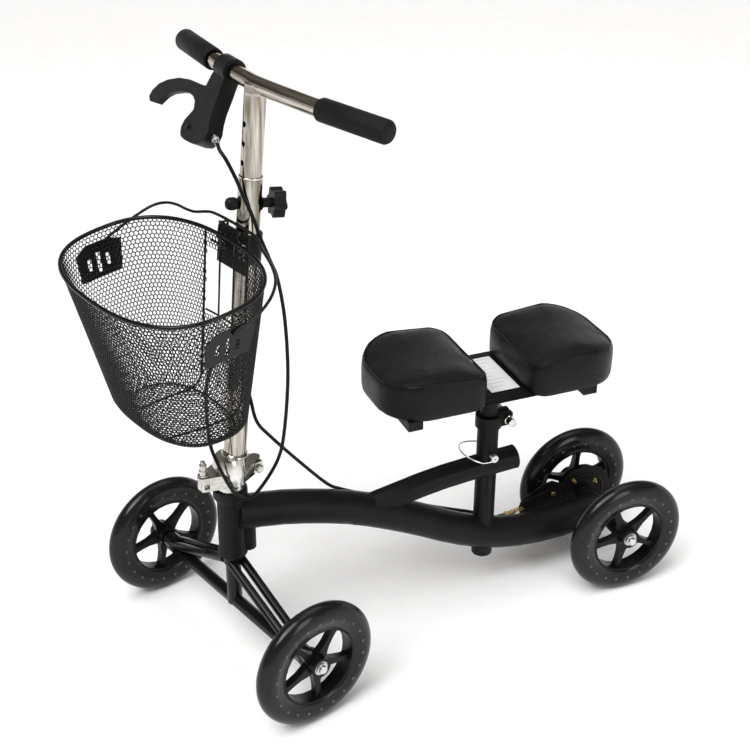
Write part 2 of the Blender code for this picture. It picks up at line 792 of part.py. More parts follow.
def bar_point(reach):
    """A point of the bar's centre line, reach metres left of the stem: it sweeps back more and more."""
    reach_back = 0.0766 * abs(reach) + 0.297 * reach**2
    return Vector((reach, reach_back, BAR_HEIGHT))


def build_handlebar():
    half = [0.0250, *CLAMPED_SPAN, GRIP_IN, 0.2240]
    reaches = [-reach for reach in reversed(half)] + [0.0] + half
    bar = pipe("handlebar", [bar_point(reach) for reach in reaches], BAR_RADIUS, BAR, "chrome", sides=4)
    upper_tube = rod("upper_tube", UPPER_TUBE_RADIUS, 0.3200, BAR_HEIGHT + 0.002, BAR, sides=32)
    inner = rod("upper_tube_bore", 0.0128, 0.3000, 0.5700, BAR, sides=24)
    union(bar, upper_tube)
    cut(bar, inner)
    for number in range(3):
        hole = rod(
            "height_hole", 0.0038, -0.03, 0.0, BAR, axis="Y", at=(0, 0.5190 + 0.0250 * number), sides=12,
        )
        cut(bar, hole)
    for name, side in (("grip_left", 1), ("grip_right", -1)):
        end = bar_point(side * GRIP_OUT)
        start = bar_point(side * GRIP_IN)
        length = (end - start).length
        axis = empty(name + "_axis", start, (end - start).to_track_quat("Z", "Y").to_euler(), BAR)
        turned(
            name,
            [
                (0.0, length), (0.0095, length - 0.0004), (0.0132, length - 0.0018),
                (0.0149, length - 0.0050),
                (0.0149, 0.0025), (0.0137, 0.0), (GRIP_BORE, 0.0), (GRIP_BORE, length - 0.0040),
                (0.0, length - 0.0040),
            ],
            axis,
            "grip_rubber",
            steps=24,
        )


# Brake lever: its plane holds the bar's right half and tips forward as it goes down.

LEVER_TILT = radians(28)
PIVOT_P, PIVOT_Q = 0.0250, 0.0900


def lever_plane():
    inner, outer = bar_point(-CLAMPED_SPAN[0]), bar_point(-CLAMPED_SPAN[1])
    origin = inner.lerp(outer, 0.5)
    outward = (outer - inner).normalized()
    world_down = Vector((0, -sin(LEVER_TILT), -cos(LEVER_TILT)))
    in_stem = Matrix.Rotation(STEM_LEAN, 3, "X") @ world_down
    down = (in_stem - outward * in_stem.dot(outward)).normalized()
    return plane(origin, outward, down)


def build_brake_lever():
    frame = lever_plane()
    turn = frame.to_euler()
    base = empty("lever_mount", frame.translation, turn, BAR)
    housing = rod("brake_housing", 0.0165, -0.0150, 0.0150, base, "moulded_plastic", axis="X", sides=28)
    body_outline = [
        (-0.0150, 0.0060), (0.0150, 0.0060), (0.0190, 0.0170), (0.0215, 0.0320), (0.0240, 0.0520),
        (0.0290, 0.0690),
        (0.0400, 0.0850), (0.0415, 0.0950), (0.0380, 0.1020), (0.0330, 0.1060), (0.0200, 0.1070),
        (0.0000, 0.1055),
        (-0.0180, 0.1005), (-0.0270, 0.0920), (-0.0290, 0.0800), (-0.0225, 0.0680), (-0.0190, 0.0550),
        (-0.0175, 0.0300),
    ]
    body = plate("housing_body", body_outline, 0.0220, base)
    union(housing, body)
    slot_outline = [
        (0.0080, 0.0250), (0.0800, 0.0200), (0.0900, 0.1020), (0.0440, 0.1020), (0.0250, 0.1010),
        (0.0150, 0.0970),
        (0.0130, 0.0880), (0.0060, 0.0600),
    ]
    slot = plate("lever_slot", slot_outline, 0.0100, base)
    bore = rod("housing_bore", BAR_RADIUS + GAP, -0.03, 0.03, base, axis="X", sides=28)
    pivot_hole = rod("pivot_hole", 0.0029, -0.02, 0.02, base, at=(PIVOT_P, PIVOT_Q), sides=12)
    socket = rod_between(
        "adjuster_socket", 0.0034, (-0.0150, 0.0780, 0), (-0.0450, 0.0900, 0), base, sides=12,
    )
    cut(housing, bore, slot, pivot_hole, socket)

    pivot = empty("brake_lever_axis", (PIVOT_P, PIVOT_Q, 0), parent=base)
    hook = [
        (0.0330, 0.0930), (0.0250, 0.0980), (0.0180, 0.0960), (0.0165, 0.0860), (0.0150, 0.0620),
        (0.0170, 0.0400),
        (0.0310, 0.0330), (0.0540, 0.0362), (0.0830, 0.0382), (0.1110, 0.0436), (0.1400, 0.0545),
        (0.1590, 0.0655),
        (0.1700, 0.0780), (0.1725, 0.0880), (0.1650, 0.0930), (0.1410, 0.0895), (0.1360, 0.0835),
        (0.1290, 0.0755),
        (0.1160, 0.0668), (0.0930, 0.0584), (0.0710, 0.0534), (0.0570, 0.0544), (0.0470, 0.0584),
        (0.0410, 0.0684),
        (0.0390, 0.0800),
    ]
    hook = [(reach - PIVOT_P, drop - PIVOT_Q) for reach, drop in hook]
    lever = plate("brake_lever", hook, 0.0085, pivot, "moulded_plastic")
    cut(lever, rod("lever_hole", 0.0029, -0.02, 0.02, pivot, sides=12))
    turned(
        "lever_pivot_pin",
        [
            (0.0, 0.0130), (0.0042, 0.0130), (0.0042, 0.0118), (0.0026, 0.0118), (0.0026, -0.0118),
            (0.0042, -0.0118), (0.0042, -0.0130), (0.0, -0.0130),
        ],
        base,
        "steel",
        centre=(PIVOT_P, PIVOT_Q, 0),
        steps=12,
    )
    start, end = Vector((-0.0180, 0.0792, 0)), Vector((-0.0450, 0.0900, 0))
    axis = empty("adjuster_axis", start, (end - start).to_track_quat("Z", "Y").to_euler(), base)
    turned(
        "cable_adjuster",
        [
            (0.0, 0.0280), (0.0034, 0.0280), (0.0034, 0.0200), (0.0050, 0.0195), (0.0050, 0.0150),
            (0.0031, 0.0145),
            (0.0031, 0.0), (0.0, 0.0),
        ],
        axis,
        "zinc",
        steps=16,
    )
    return axis


# Basket

RIM_Z, BASE_Z = 0.6420, 0.4250
RIM_SIZE, BASE_SIZE = (0.1557, 0.1030), (0.1040, 0.0690)
RIM_CENTRE, BASE_CENTRE = -0.0875, -0.0715
RIM_TILT = 0.125
BASKET_SIDES = 24


def basket_ring(share, inset=0.0):
    """A level of the basket: share 0 is its base, share 1 its rim; a rounded oval."""
    half_x, half_y = (base + (rim - base) * share - inset for base, rim in zip(BASE_SIZE, RIM_SIZE))
    centre = BASE_CENTRE + (RIM_CENTRE - BASE_CENTRE) * share
    ring = []
    for number in range(BASKET_SIDES):
        angle = 2 * pi * number / BASKET_SIDES
        x = half_x * abs(cos(angle)) ** 0.8 * (1 if cos(angle) >= 0 else -1)
        y = half_y * abs(sin(angle)) ** 0.8 * (1 if sin(angle) >= 0 else -1)
        ring.append(Vector((x, centre + y, BASE_Z + (RIM_Z - BASE_Z) * share + RIM_TILT * share * y)))
    return ring


def basket_floor(inset, height):
    """The rounded floor: rings that turn from the wall down to a flat middle."""
    corner = 0.0200
    rings = []
    for number in range(3):
        turn = pi / 2 * number / 3
        ring = basket_ring(
            corner / (RIM_Z - BASE_Z) * (1 - sin(turn)), inset + corner * (1 - cos(turn)) + 0.0001,
        )
        rings.append([Vector((point.x, point.y, BASE_Z + corner * (1 - sin(turn)) + height)) for point in ring])
    last = basket_ring(0.0, inset + corner)
    rings.append([Vector((point.x, point.y, BASE_Z + height)) for point in last])
    return rings


def build_basket():
    wall = 0.0030
    outer = [*reversed(basket_floor(0.0, 0.0)), basket_ring(0.5), basket_ring(1.0)]
    inner = [basket_ring(1.0, wall), basket_ring(0.5, wall), *basket_floor(wall, wall)]
    bm = bmesh.new()
    levels = [[bm.verts.new(point) for point in ring] for ring in outer + inner]
    for low, high in zip(levels, levels[1:]):
        for number in range(BASKET_SIDES):
            following = (number + 1) % BASKET_SIDES
            bm.faces.new((low[number], low[following], high[following], high[number]))
    bm.faces.new(reversed(levels[0]))
    bm.faces.new(levels[-1])
    bmesh.ops.recalc_face_normals(bm, faces=bm.faces)
    basket = from_bmesh("basket", bm, BASKET, "gloss_black_paint")
    rim = pipe("basket_rim", basket_ring(1.0, wall / 2), 0.0031, BASKET, cyclic=True, sides=1)
    union(basket, rim)
    for side in (-1, 1):
        hook = [
            (0.0135, 0.6480), (0.0160, 0.6660), (0.0190, 0.6690), (0.0270, 0.6690), (0.0292, 0.6650),
            (0.0288, 0.6610),
        ]
        union(basket, pipe("hang_hook", [(side * 0.0220, y, z) for y, z in hook], 0.0016, BASKET, sides=1))
    window = block("basket_window", (-0.0480, -0.02, 0.5350), (0.0480, 0.0130, 0.6280), BASKET)
    return cut(basket, window)


def build_basket_plates():
    for name, side in (("basket_plate_left", 1), ("basket_plate_right", -1)):
        outline = [
            (-0.0340, -0.0420), (0.0280, -0.0360), (0.0340, 0.0060), (0.0110, 0.0100), (-0.0200, 0.0070),
            (-0.0360, -0.0050),
        ]
        lean = (RIM_SIZE[0] - BASE_SIZE[0]) / (RIM_Z - BASE_Z)
        frame = plane((side * 0.1560, PIVOT_Y, PIVOT_Z), (0, 1, 0), (side * lean, 0, 1))
        plate(name, outline, 0.0015, BASKET, "gloss_black_paint", frame=frame)


PIVOT_Y, PIVOT_Z = -0.0875, 0.6150


def build_bail():
    axis = empty("bail_axis", (0, PIVOT_Y, PIVOT_Z), parent=BASKET)
    half = [
        (0.1590, -0.0875, 0.6150), (0.1625, -0.0700, 0.6230), (0.1635, -0.0450, 0.6340),
        (0.1615, -0.0180, 0.6460),
        (0.1545, -0.0010, 0.6545), (0.1410, 0.0100, 0.6595), (0.1210, 0.0145, 0.6620),
        (0.1010, 0.0145, 0.6630),
        (0.0810, 0.0160, 0.6650), (0.0620, 0.0215, 0.6700), (0.0450, 0.0240, 0.6730),
    ]
    middle = [(0.0, 0.0245, 0.6740)]
    points = half + middle + [(-x, y, z) for x, y, z in reversed(half)]
    points = [(x, y - PIVOT_Y, z - PIVOT_Z) for x, y, z in points]
    pipe("basket_bail", smooth_path(points, 46), 0.0020, axis, "gloss_black_paint", sides=1)


# Knee rest

PLATE_LOW = PLATE_TOP - 0.0030
POST_RADIUS = 0.0136
FRONT_PAD = (0.2100, 0.3620)
REAR_PAD = (0.4300, 0.5795)


def rounded_outline(low_y, high_y, half_width, low_radius, high_radius, count=7):
    """A rectangle seen from above with two corner radii, one at each end."""
    corners = [
        arc((half_width - high_radius, high_y - high_radius), high_radius, 0, 90, count),
        arc((high_radius - half_width, high_y - high_radius), high_radius, 90, 180, count),
        arc((low_radius - half_width, low_y + low_radius), low_radius, 180, 270, count),
        arc((half_width - low_radius, low_y + low_radius), low_radius, 270, 360, count),
    ]
    return [point for corner in corners for point in corner]


def build_pad(end, span, radii):
    """A cushion on its base board."""
    low, high = span
    inset = 0.0060
    board_low = PLATE_TOP + GAP
    pad_low = board_low + BOARD_THICKNESS + GAP
    board_outline = rounded_outline(low + inset, high - inset, PAD_HALF_WIDTH - inset, *radii, count=4)
    plate(
        "pad_board_" + end, board_outline, BOARD_THICKNESS, KNEE_REST, "moulded_plastic",
        frame=Matrix.Translation((0, 0, board_low + BOARD_THICKNESS / 2)),
    )
    outline = rounded_outline(low, high, PAD_HALF_WIDTH, *radii)
    middle = Matrix.Translation((0, 0, (pad_low + PAD_TOP) / 2))
    pad = plate("pad_" + end, outline, PAD_TOP - pad_low, KNEE_REST, "vinyl", frame=middle)
    rounding = pad.modifiers.new("rounding", "BEVEL")
    rounding.width = 0.0110
    rounding.segments = 3
    rounding.limit_method = "ANGLE"
    rounding.angle_limit = radians(60)


def build_knee_rest():
    post = turned(
        "seat_post",
        [
            (POST_RADIUS, PLATE_LOW - 0.0040), (POST_RADIUS, 0.1200), (0.0116, 0.1200),
            (0.0116, PLATE_LOW - 0.0040),
        ],
        KNEE_REST,
        "satin_black_paint",
        centre=(0, SEAT_TUBE_Y, 0),
        steps=28,
    )
    head = block(
        "post_head", (-0.0210, SEAT_TUBE_Y - 0.0240, 0.3440), (0.0210, SEAT_TUBE_Y + 0.0240, PLATE_LOW - GAP),
        KNEE_REST, bevel=0.003,
    )
    slot = block(
        "post_slot", (-0.03, SEAT_TUBE_Y - 0.0034, 0.1600), (0.03, SEAT_TUBE_Y + 0.0034, 0.2860), KNEE_REST,
    )
    cut(union(post, head), slot)
    seat_plate = block(
        "seat_plate", (-0.0710, FRONT_PAD[0] + 0.030, PLATE_LOW), (0.0710, REAR_PAD[1] - 0.030, PLATE_TOP),
        KNEE_REST, "satin_black_paint",
    )
    for middle in (0.2480, 0.5240):
        for edge in (-1, 1):
            near, far = sorted((middle + edge * 0.0090, middle + edge * 0.0110))
            flange = block(
                "channel_flange", (-0.0770, near, 0.3600), (0.0770, far, PLATE_TOP - 0.001), KNEE_REST,
            )
            union(seat_plate, flange)
        web = block(
            "channel_web", (-0.0770, middle - 0.0110, PLATE_LOW - 0.001),
            (0.0770, middle + 0.0110, PLATE_TOP - 0.0005), KNEE_REST,
        )
        union(seat_plate, web)
    build_pad("front", FRONT_PAD, (0.0640, 0.0240))
    build_pad("rear", REAR_PAD, (0.0240, 0.0600))


# Rear brake, on the inner side of the right rear wheel

DRUM_RADIUS = 0.0400
DRUM_OUT = -0.0650
DRUM_IN = -0.0500
BRAKE_PLATE_X = -0.0475
ARM_PIVOT = (WHEELBASE - 0.0640, WHEEL_RADIUS + 0.0180)


def build_brake():
    wheel = RIGHT_REAR
    offset = -REAR_TRACK / 2
    turned(
        "brake_drum",
        [
            (DRUM_RADIUS, DRUM_IN - offset), (DRUM_RADIUS, DRUM_OUT - offset), (0.0090, DRUM_OUT - offset),
            (0.0090, DRUM_OUT - offset + 0.003), (0.0160, DRUM_OUT - offset + 0.003),
            (0.0160, DRUM_IN - offset - 0.001),
            (0.0160, DRUM_IN - offset),
        ],
        wheel,
        "gloss_black_paint",
        axis="X",
        steps=28,
    )
    centre = (WHEELBASE, WHEEL_RADIUS)
    shield = [(y, z) for y, z in arc(centre, 0.0470, -130, 150, 28)]
    shield += [(ARM_PIVOT[0] + 0.0050, ARM_PIVOT[1] + 0.0150), (ARM_PIVOT[0] - 0.0150, ARM_PIVOT[1] + 0.0120)]
    shield += [(WHEELBASE - 0.1150, 0.1000), (WHEELBASE - 0.1150, 0.0760), (WHEELBASE - 0.0700, 0.0760)]
    brake_plate = plate(
        "brake_plate", shield, 0.0030, SCOOTER, "satin_black_paint",
        frame=plane((BRAKE_PLATE_X, 0, 0), (0, 1, 0), (0, 0, 1)),
    )
    hub_hole = rod("plate_hole", 0.0050, -0.06, -0.03, SCOOTER, axis="X", at=centre, sides=16)
    bolt_hole = rod("arm_bolt_hole", 0.0029, -0.06, -0.03, SCOOTER, axis="X", at=ARM_PIVOT, sides=12)
    cut(brake_plate, hub_hole, bolt_hole)
    turned(
        "brake_anchor_bolt",
        [
            (0.0, 0.0185), (0.0042, 0.0185), (0.0042, 0.0150), (0.0026, 0.0150), (0.0026, -0.0010),
            (0.0042, -0.0010),
            (0.0042, -0.0040), (0.0, -0.0040),
        ],
        SCOOTER,
        "brass",
        axis="X",
        centre=(BRAKE_PLATE_X - 0.0018, *ARM_PIVOT),
        steps=12,
    )
    arm_axis = empty("brake_arm_axis", (BRAKE_PLATE_X + 0.0065, *ARM_PIVOT), parent=SCOOTER)
    arm_outline = arc((0, 0), 0.0075, -60, 130, 10) + [
        (-0.0500, -0.0080), (-0.0560, -0.0140), (-0.0560, -0.0220), (-0.0460, -0.0220),
    ]
    arm = plate("brake_arm", arm_outline, 0.0040, arm_axis, "satin_black_paint", frame=SIDE_VIEW)
    cut(arm, rod("arm_hole", 0.0029, -0.02, 0.02, arm_axis, axis="X", sides=12))


def build_brake_cable_end():
    adjuster_axis = empty("rear_adjuster_axis", REAR_ADJUSTER, (-pi / 2, 0, 0), SCOOTER)
    turned(
        "rear_cable_adjuster",
        [
            (0.0, 0.0200), (0.0022, 0.0200), (0.0022, 0.0140), (0.0048, 0.0136), (0.0048, 0.0096),
            (0.0034, 0.0092),
            (0.0034, 0.0040), (0.0050, 0.0036), (0.0050, 0.0), (0.0, 0.0),
        ],
        adjuster_axis,
        "brass",
        steps=14,
    )


REAR_ADJUSTER = (-0.0405, 0.4610, 0.0905)

# Brake cable: the steered points turn with the stem, the fixed ones lie along the frame.

CABLE_RADIUS = 0.0025
CABLE_STEERED = [
    (-0.0170, 0.0305, 0.7480), (-0.0050, 0.0290, 0.7290), (0.0100, 0.0300, 0.7120), (0.0230, 0.0375, 0.6900),
    (0.0310, 0.0450, 0.6560), (0.0370, 0.0530, 0.6270), (0.0430, 0.0600, 0.6000), (0.0470, 0.0670, 0.5400),
    (0.0480, 0.0690, 0.4560), (0.0470, 0.0620, 0.3740), (0.0450, 0.0520, 0.3310), (0.0400, 0.0290, 0.2950),
    (0.0340, 0.0080, 0.2760), (0.0310, -0.0110, 0.2910), (0.0280, -0.0230, 0.3150), (0.0150, -0.0290, 0.3430),
    (0.0000, -0.0280, 0.3600), (-0.0200, -0.0190, 0.3880), (-0.0430, -0.0040, 0.4130),
    (-0.0560, 0.0120, 0.4380),
    (-0.0500, 0.0320, 0.4520), (-0.0300, 0.0440, 0.4400), (-0.0060, 0.0420, 0.4120),
]
CABLE_FIXED = [
    (0.0000, 0.0420, 0.3800), (0.0000, 0.0610, 0.3510), (-0.0050, 0.1060, 0.2945), (-0.0140, 0.1500, 0.2420),
    (-0.0245, 0.1740, 0.2210), (-0.0305, 0.2050, 0.2020), (-0.0310, 0.2500, 0.1800),
    (-0.0300, 0.3000, 0.1590),
    (-0.0300, 0.3460, 0.1390), (-0.0320, 0.4000, 0.1160), (-0.0385, 0.4240, 0.0990),
]


def build_brake_cable(adjuster):
    bpy.context.view_layer.update()
    to_scooter = SCOOTER.matrix_world.inverted()
    start = to_scooter @ adjuster.matrix_world @ Vector((0, 0, 0.0305))
    lead = to_scooter @ adjuster.matrix_world @ Vector((0, 0, 0.0400))
    turn = Matrix.Rotation(STEER_ANGLE, 3, "Z")
    end = Vector(REAR_ADJUSTER) - Vector((0, 0.0010, 0))
    points = [start, lead, *(turn @ Vector(point) for point in CABLE_STEERED), *map(Vector, CABLE_FIXED)]
    points += [end - Vector((0, 0.0200, 0)), end - Vector((0, 0.0060, 0)), end]
    pipe("brake_cable", smooth_path(points, 72), CABLE_RADIUS, SCOOTER, "cable_black", sides=1)


build_frame()
build_frame_fittings()
build_seat_clamp()
build_safety_pin()
build_front_truck()
turned(
    "headset_cover",
    [
        (0.0225, 0.2832), (0.0245, 0.2815), (0.0245, 0.2690), (0.0225, 0.2650), (0.0205, 0.2645),
        (0.0113, 0.2645),
        (0.0113, 0.2832),
    ],
    STEERING,
    "satin_black_paint",
    steps=20,
)
build_front_axle("front_axle_bolt_left", 1)
build_front_axle("front_axle_bolt_right", -1)
build_wheel("front_left", STEERING, (FRONT_TRACK / 2, 0, WHEEL_RADIUS), radians(56))
build_wheel("front_right", STEERING, (-FRONT_TRACK / 2, 0, WHEEL_RADIUS), radians(44))
build_wheel("rear_left", SCOOTER, (REAR_TRACK / 2, WHEELBASE, WHEEL_RADIUS), radians(42))
RIGHT_REAR = build_wheel("rear_right", SCOOTER, (-REAR_TRACK / 2, WHEELBASE, WHEEL_RADIUS), radians(13))
build_folding_clamp()
build_stem()
build_height_screw()
build_bracket()
BAR = empty("bar_slide", rotation=(0, 0, BAR_TWIST), parent=STEM)
build_handlebar()
ADJUSTER = build_brake_lever()
BASKET = empty("basket_hang", parent=STEERING)
build_basket()
build_basket_plates()
build_bail()
KNEE_REST = empty("knee_rest_slide", parent=SCOOTER)
build_knee_rest()
build_brake()
build_brake_cable_end()
build_brake_cable(ADJUSTER)
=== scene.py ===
"""Looks of the knee scooter: materials, cushions, wire basket, cable, tyres and studio."""

from math import cos, pi, radians, sin, tau

import bmesh
import bpy
from mathutils import Matrix, Vector
from mathutils.bvhtree import BVHTree


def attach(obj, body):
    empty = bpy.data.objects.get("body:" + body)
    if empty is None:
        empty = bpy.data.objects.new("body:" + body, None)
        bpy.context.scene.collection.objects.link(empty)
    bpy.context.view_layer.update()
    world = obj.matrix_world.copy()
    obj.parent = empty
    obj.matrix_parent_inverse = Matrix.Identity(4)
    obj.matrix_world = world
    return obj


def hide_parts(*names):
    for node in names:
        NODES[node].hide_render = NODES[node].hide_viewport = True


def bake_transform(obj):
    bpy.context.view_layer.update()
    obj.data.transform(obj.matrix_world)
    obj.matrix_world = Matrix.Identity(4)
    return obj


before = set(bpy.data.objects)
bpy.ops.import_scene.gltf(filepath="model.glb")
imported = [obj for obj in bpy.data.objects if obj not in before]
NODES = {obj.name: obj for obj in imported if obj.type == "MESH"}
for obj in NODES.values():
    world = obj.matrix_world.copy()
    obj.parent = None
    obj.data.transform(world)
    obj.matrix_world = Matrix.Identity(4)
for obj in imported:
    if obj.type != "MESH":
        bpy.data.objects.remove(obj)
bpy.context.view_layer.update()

# Frames: the scooter's own, its steered front and its stem

STEER_ANGLE, STEM_LEAN = radians(16.2), radians(-6)
STEM_FOOT_Z = 0.234
SCOOTER = Matrix.Translation((0.0172, -0.2516, 0))
STEERED = SCOOTER @ Matrix.Rotation(STEER_ANGLE, 4, "Z")
STEM = STEERED @ Matrix.Translation((0, 0, STEM_FOOT_Z)) @ Matrix.Rotation(STEM_LEAN, 4, "X")


# Materials

PATCH_SCALE, ROUGHNESS_SCALE = 22, 90
NOISE_LOW, NOISE_HIGH = 0.3, 0.7
BLACK_SPECULAR = 0.14


def node(tree, kind, **inputs):
    """A new shader node, with its sockets and properties set by name."""
    made = tree.nodes.new(kind)
    for key, value in inputs.items():
        if key in made.inputs:
            made.inputs[key].default_value = value
        else:
            setattr(made, key, value)
    return made


def noise(tree, source, scale, detail=4.0, stretch=None):
    """Noise on the object's own coordinates."""
    made = node(tree, "ShaderNodeTexNoise", Scale=scale, Detail=detail, Roughness=0.6)
    if stretch:
        mapping = node(tree, "ShaderNodeMapping", Scale=stretch)
        tree.links.new(source, mapping.inputs["Vector"])
        source = mapping.outputs["Vector"]
    tree.links.new(source, made.inputs["Vector"])
    return made.outputs["Fac"]


def spread(tree, value, low, high):
    """A noise value, which mostly lies between NOISE_LOW and NOISE_HIGH, turned to another range."""
    made = node(tree, "ShaderNodeMapRange")
    tree.links.new(value, made.inputs["Value"])
    made.inputs["From Min"].default_value = NOISE_LOW
    made.inputs["From Max"].default_value = NOISE_HIGH
    made.inputs["To Min"].default_value = low
    made.inputs["To Max"].default_value = high
    return made.outputs["Result"]


def bump(tree, height, depth, after=None):
    """Relief of a depth in metres, on top of an earlier normal if there is one."""
    made = node(tree, "ShaderNodeBump", Strength=1.0, Distance=depth)
    tree.links.new(height, made.inputs["Height"])
    if after:
        tree.links.new(after, made.inputs["Normal"])
    return made.outputs["Normal"]


def switched(tree, place, below, above, height):
    """One value below a height and another above it."""
    parts = node(tree, "ShaderNodeSeparateXYZ")
    tree.links.new(place, parts.inputs[0])
    higher = node(tree, "ShaderNodeMath", operation="GREATER_THAN")
    higher.inputs[1].default_value = height
    tree.links.new(parts.outputs["Z"], higher.inputs[0])
    mix = node(tree, "ShaderNodeMix", data_type="FLOAT")
    tree.links.new(higher.outputs[0], mix.inputs[0])
    tree.links.new(below, mix.inputs[2])
    tree.links.new(above, mix.inputs[3])
    return mix.outputs[0]


def material(
    name, dark, light, rough, metallic=0.0, grain=(900, 0.00006), wave=(14, 0.0), stretch=None, above=None,
    **sockets,
):
    """A surface whose colour, roughness and relief all vary a little over it.

    grain and wave are a fine and a broad relief, each a noise scale and a depth. stretch scales the noise
    along each axis. above is a height and the stretch of the colour's noise from there up. Any other name is
    a socket of the shader, set to one value.
    """
    made = bpy.data.materials.new(name)
    made.use_nodes = True
    tree = made.node_tree
    shader = tree.nodes["Principled BSDF"]
    place = node(tree, "ShaderNodeTexCoord").outputs["Object"]
    patches = noise(tree, place, PATCH_SCALE, 5, stretch)
    if above:
        higher = noise(tree, place, PATCH_SCALE, 5, above[1])
        patches = switched(tree, place, patches, higher, above[0])
    mix = node(tree, "ShaderNodeMix", data_type="RGBA")
    tree.links.new(spread(tree, patches, 0, 1), mix.inputs[0])
    mix.inputs[6].default_value = (*dark, 1)
    mix.inputs[7].default_value = (*light, 1)
    tree.links.new(mix.outputs[2], shader.inputs["Base Color"])
    roughness = spread(tree, noise(tree, place, ROUGHNESS_SCALE, 6, stretch), *rough)
    tree.links.new(roughness, shader.inputs["Roughness"])
    normal = bump(tree, noise(tree, place, grain[0], 3, stretch), grain[1])
    if wave[1]:
        normal = bump(tree, noise(tree, place, wave[0], 2), wave[1], normal)
    tree.links.new(normal, shader.inputs["Normal"])
    shader.inputs["Metallic"].default_value = metallic
    for key, value in sockets.items():
        shader.inputs[key.replace("_", " ")].default_value = value
    return made


def woven(name, dark, light, rough):
    """Embossed vinyl with a fine twill, made by two crossed waves."""
    made = material(name, dark, light, rough, grain=(1400, 0.00003), Specular_IOR_Level=0.13)
    tree = made.node_tree
    shader = tree.nodes["Principled BSDF"]
    place = node(tree, "ShaderNodeTexCoord").outputs["Object"]
    heights = []
    for turn in (35, -55):
        mapping = node(tree, "ShaderNodeMapping", Rotation=(0.35, 0.25, radians(turn)))
        tree.links.new(place, mapping.inputs["Vector"])
        wave = node(tree, "ShaderNodeTexWave", Scale=120.0, Distortion=0.0)
        tree.links.new(mapping.outputs["Vector"], wave.inputs["Vector"])
        heights.append(wave.outputs["Fac"])
    both = node(tree, "ShaderNodeMath", operation="MULTIPLY")
    tree.links.new(heights[0], both.inputs[0])
    tree.links.new(heights[1], both.inputs[1])
    first = shader.inputs["Normal"].links[0].from_socket
    tree.links.new(bump(tree, both.outputs[0], 0.0004, first), shader.inputs["Normal"])
    return made


SATIN = material(
    "satin_black", (0.0040, 0.0039, 0.0037), (0.0070, 0.0067, 0.0062), (0.40, 0.54), grain=(1500, 0.00005),
    wave=(60, 0.00008), Specular_IOR_Level=BLACK_SPECULAR,
)
GLOSS = material(
    "gloss_black", (0.0030, 0.0030, 0.0031), (0.0050, 0.0049, 0.0048), (0.16, 0.28), grain=(600, 0.00002),
    Specular_IOR_Level=0.22,
)
CHROME = material("chrome", (0.60, 0.58, 0.54), (0.80, 0.79, 0.77), (0.06, 0.12), 1.0, grain=(400, 0.000006))
# Chrome of the stem tube with painted reflections: its colour runs in long streaks up the tube, from dark
# brown to pale, standing in for the bands that it reflects.
STEM_CHROME_PAINTED_REFLECTION = material(
    "stem_chrome_painted_reflection", (0.050, 0.034, 0.015), (0.70, 0.67, 0.60), (0.07, 0.13), 1.0, grain=(9, 0.000006),
    stretch=(7, 7, 0.16),
)
# Chrome of the handlebar with painted reflections: dark brown and pale streaks run up the upright tube below
# the height 0.838 and along the crossbar above it, standing in for the bands that it reflects.
BAR_CHROME_PAINTED_REFLECTION = material(
    "bar_chrome_painted_reflection", (0.13, 0.095, 0.05), (0.74, 0.71, 0.66), (0.07, 0.13), 1.0, grain=(9, 0.000006),
    stretch=(7, 7, 0.16), above=(0.838, (0.3, 0.5, 9)),
)
CAST = material(
    "cast_chrome", (0.46, 0.44, 0.40), (0.76, 0.75, 0.72), (0.12, 0.26), 1.0, grain=(500, 0.00003),
    wave=(90, 0.0003),
)
ZINC = material("zinc", (0.56, 0.57, 0.58), (0.68, 0.69, 0.70), (0.20, 0.34), 1.0, grain=(900, 0.00003))
BRASS = material("brass", (0.50, 0.38, 0.13), (0.68, 0.55, 0.22), (0.22, 0.36), 1.0, grain=(900, 0.00004))
STEEL = material("steel", (0.38, 0.38, 0.39), (0.50, 0.50, 0.51), (0.24, 0.36), 1.0, grain=(900, 0.00003))
WHEEL = material(
    "wheel_plastic", (0.0035, 0.0035, 0.0036), (0.0060, 0.0060, 0.0060), (0.28, 0.40), grain=(1300, 0.00005),
    Specular_IOR_Level=BLACK_SPECULAR,
)
TYRE = material(
    "tyre", (0.0060, 0.0063, 0.0075), (0.0100, 0.0103, 0.0120), (0.12, 0.22), grain=(700, 0.00003),
    wave=(40, 0.00008), Specular_IOR_Level=0.24,
)
STUD = material("tyre_stud", (0.030, 0.029, 0.025), (0.085, 0.080, 0.068), (0.25, 0.40), grain=(900, 0.00003))
GRIP = material(
    "grip_rubber", (0.0042, 0.0041, 0.0040), (0.0075, 0.0072, 0.0070), (0.50, 0.64), grain=(1700, 0.00016),
    Specular_IOR_Level=BLACK_SPECULAR,
)
PLASTIC = material(
    "moulded_plastic", (0.0042, 0.0041, 0.0039), (0.0072, 0.0070, 0.0066), (0.36, 0.48),
    grain=(1500, 0.00010), Specular_IOR_Level=BLACK_SPECULAR,
)
VINYL = woven("vinyl", (0.0036, 0.0035, 0.0034), (0.0062, 0.0060, 0.0057), (0.30, 0.40))
BOARD = material("board", (0.005, 0.005, 0.0045), (0.009, 0.008, 0.007), (0.55, 0.7), grain=(700, 0.0002))
CABLE = material(
    "cable_black", (0.0032, 0.0032, 0.0032), (0.0055, 0.0055, 0.0055), (0.26, 0.38), grain=(1200, 0.00004),
    Specular_IOR_Level=BLACK_SPECULAR,
)
LABEL = material("label", (0.60, 0.61, 0.62), (0.70, 0.71, 0.72), (0.40, 0.55), grain=(900, 0.00002))
PRINT = material("label_print", (0.28, 0.28, 0.29), (0.38, 0.38, 0.38), (0.50, 0.60), grain=(900, 0.00002))

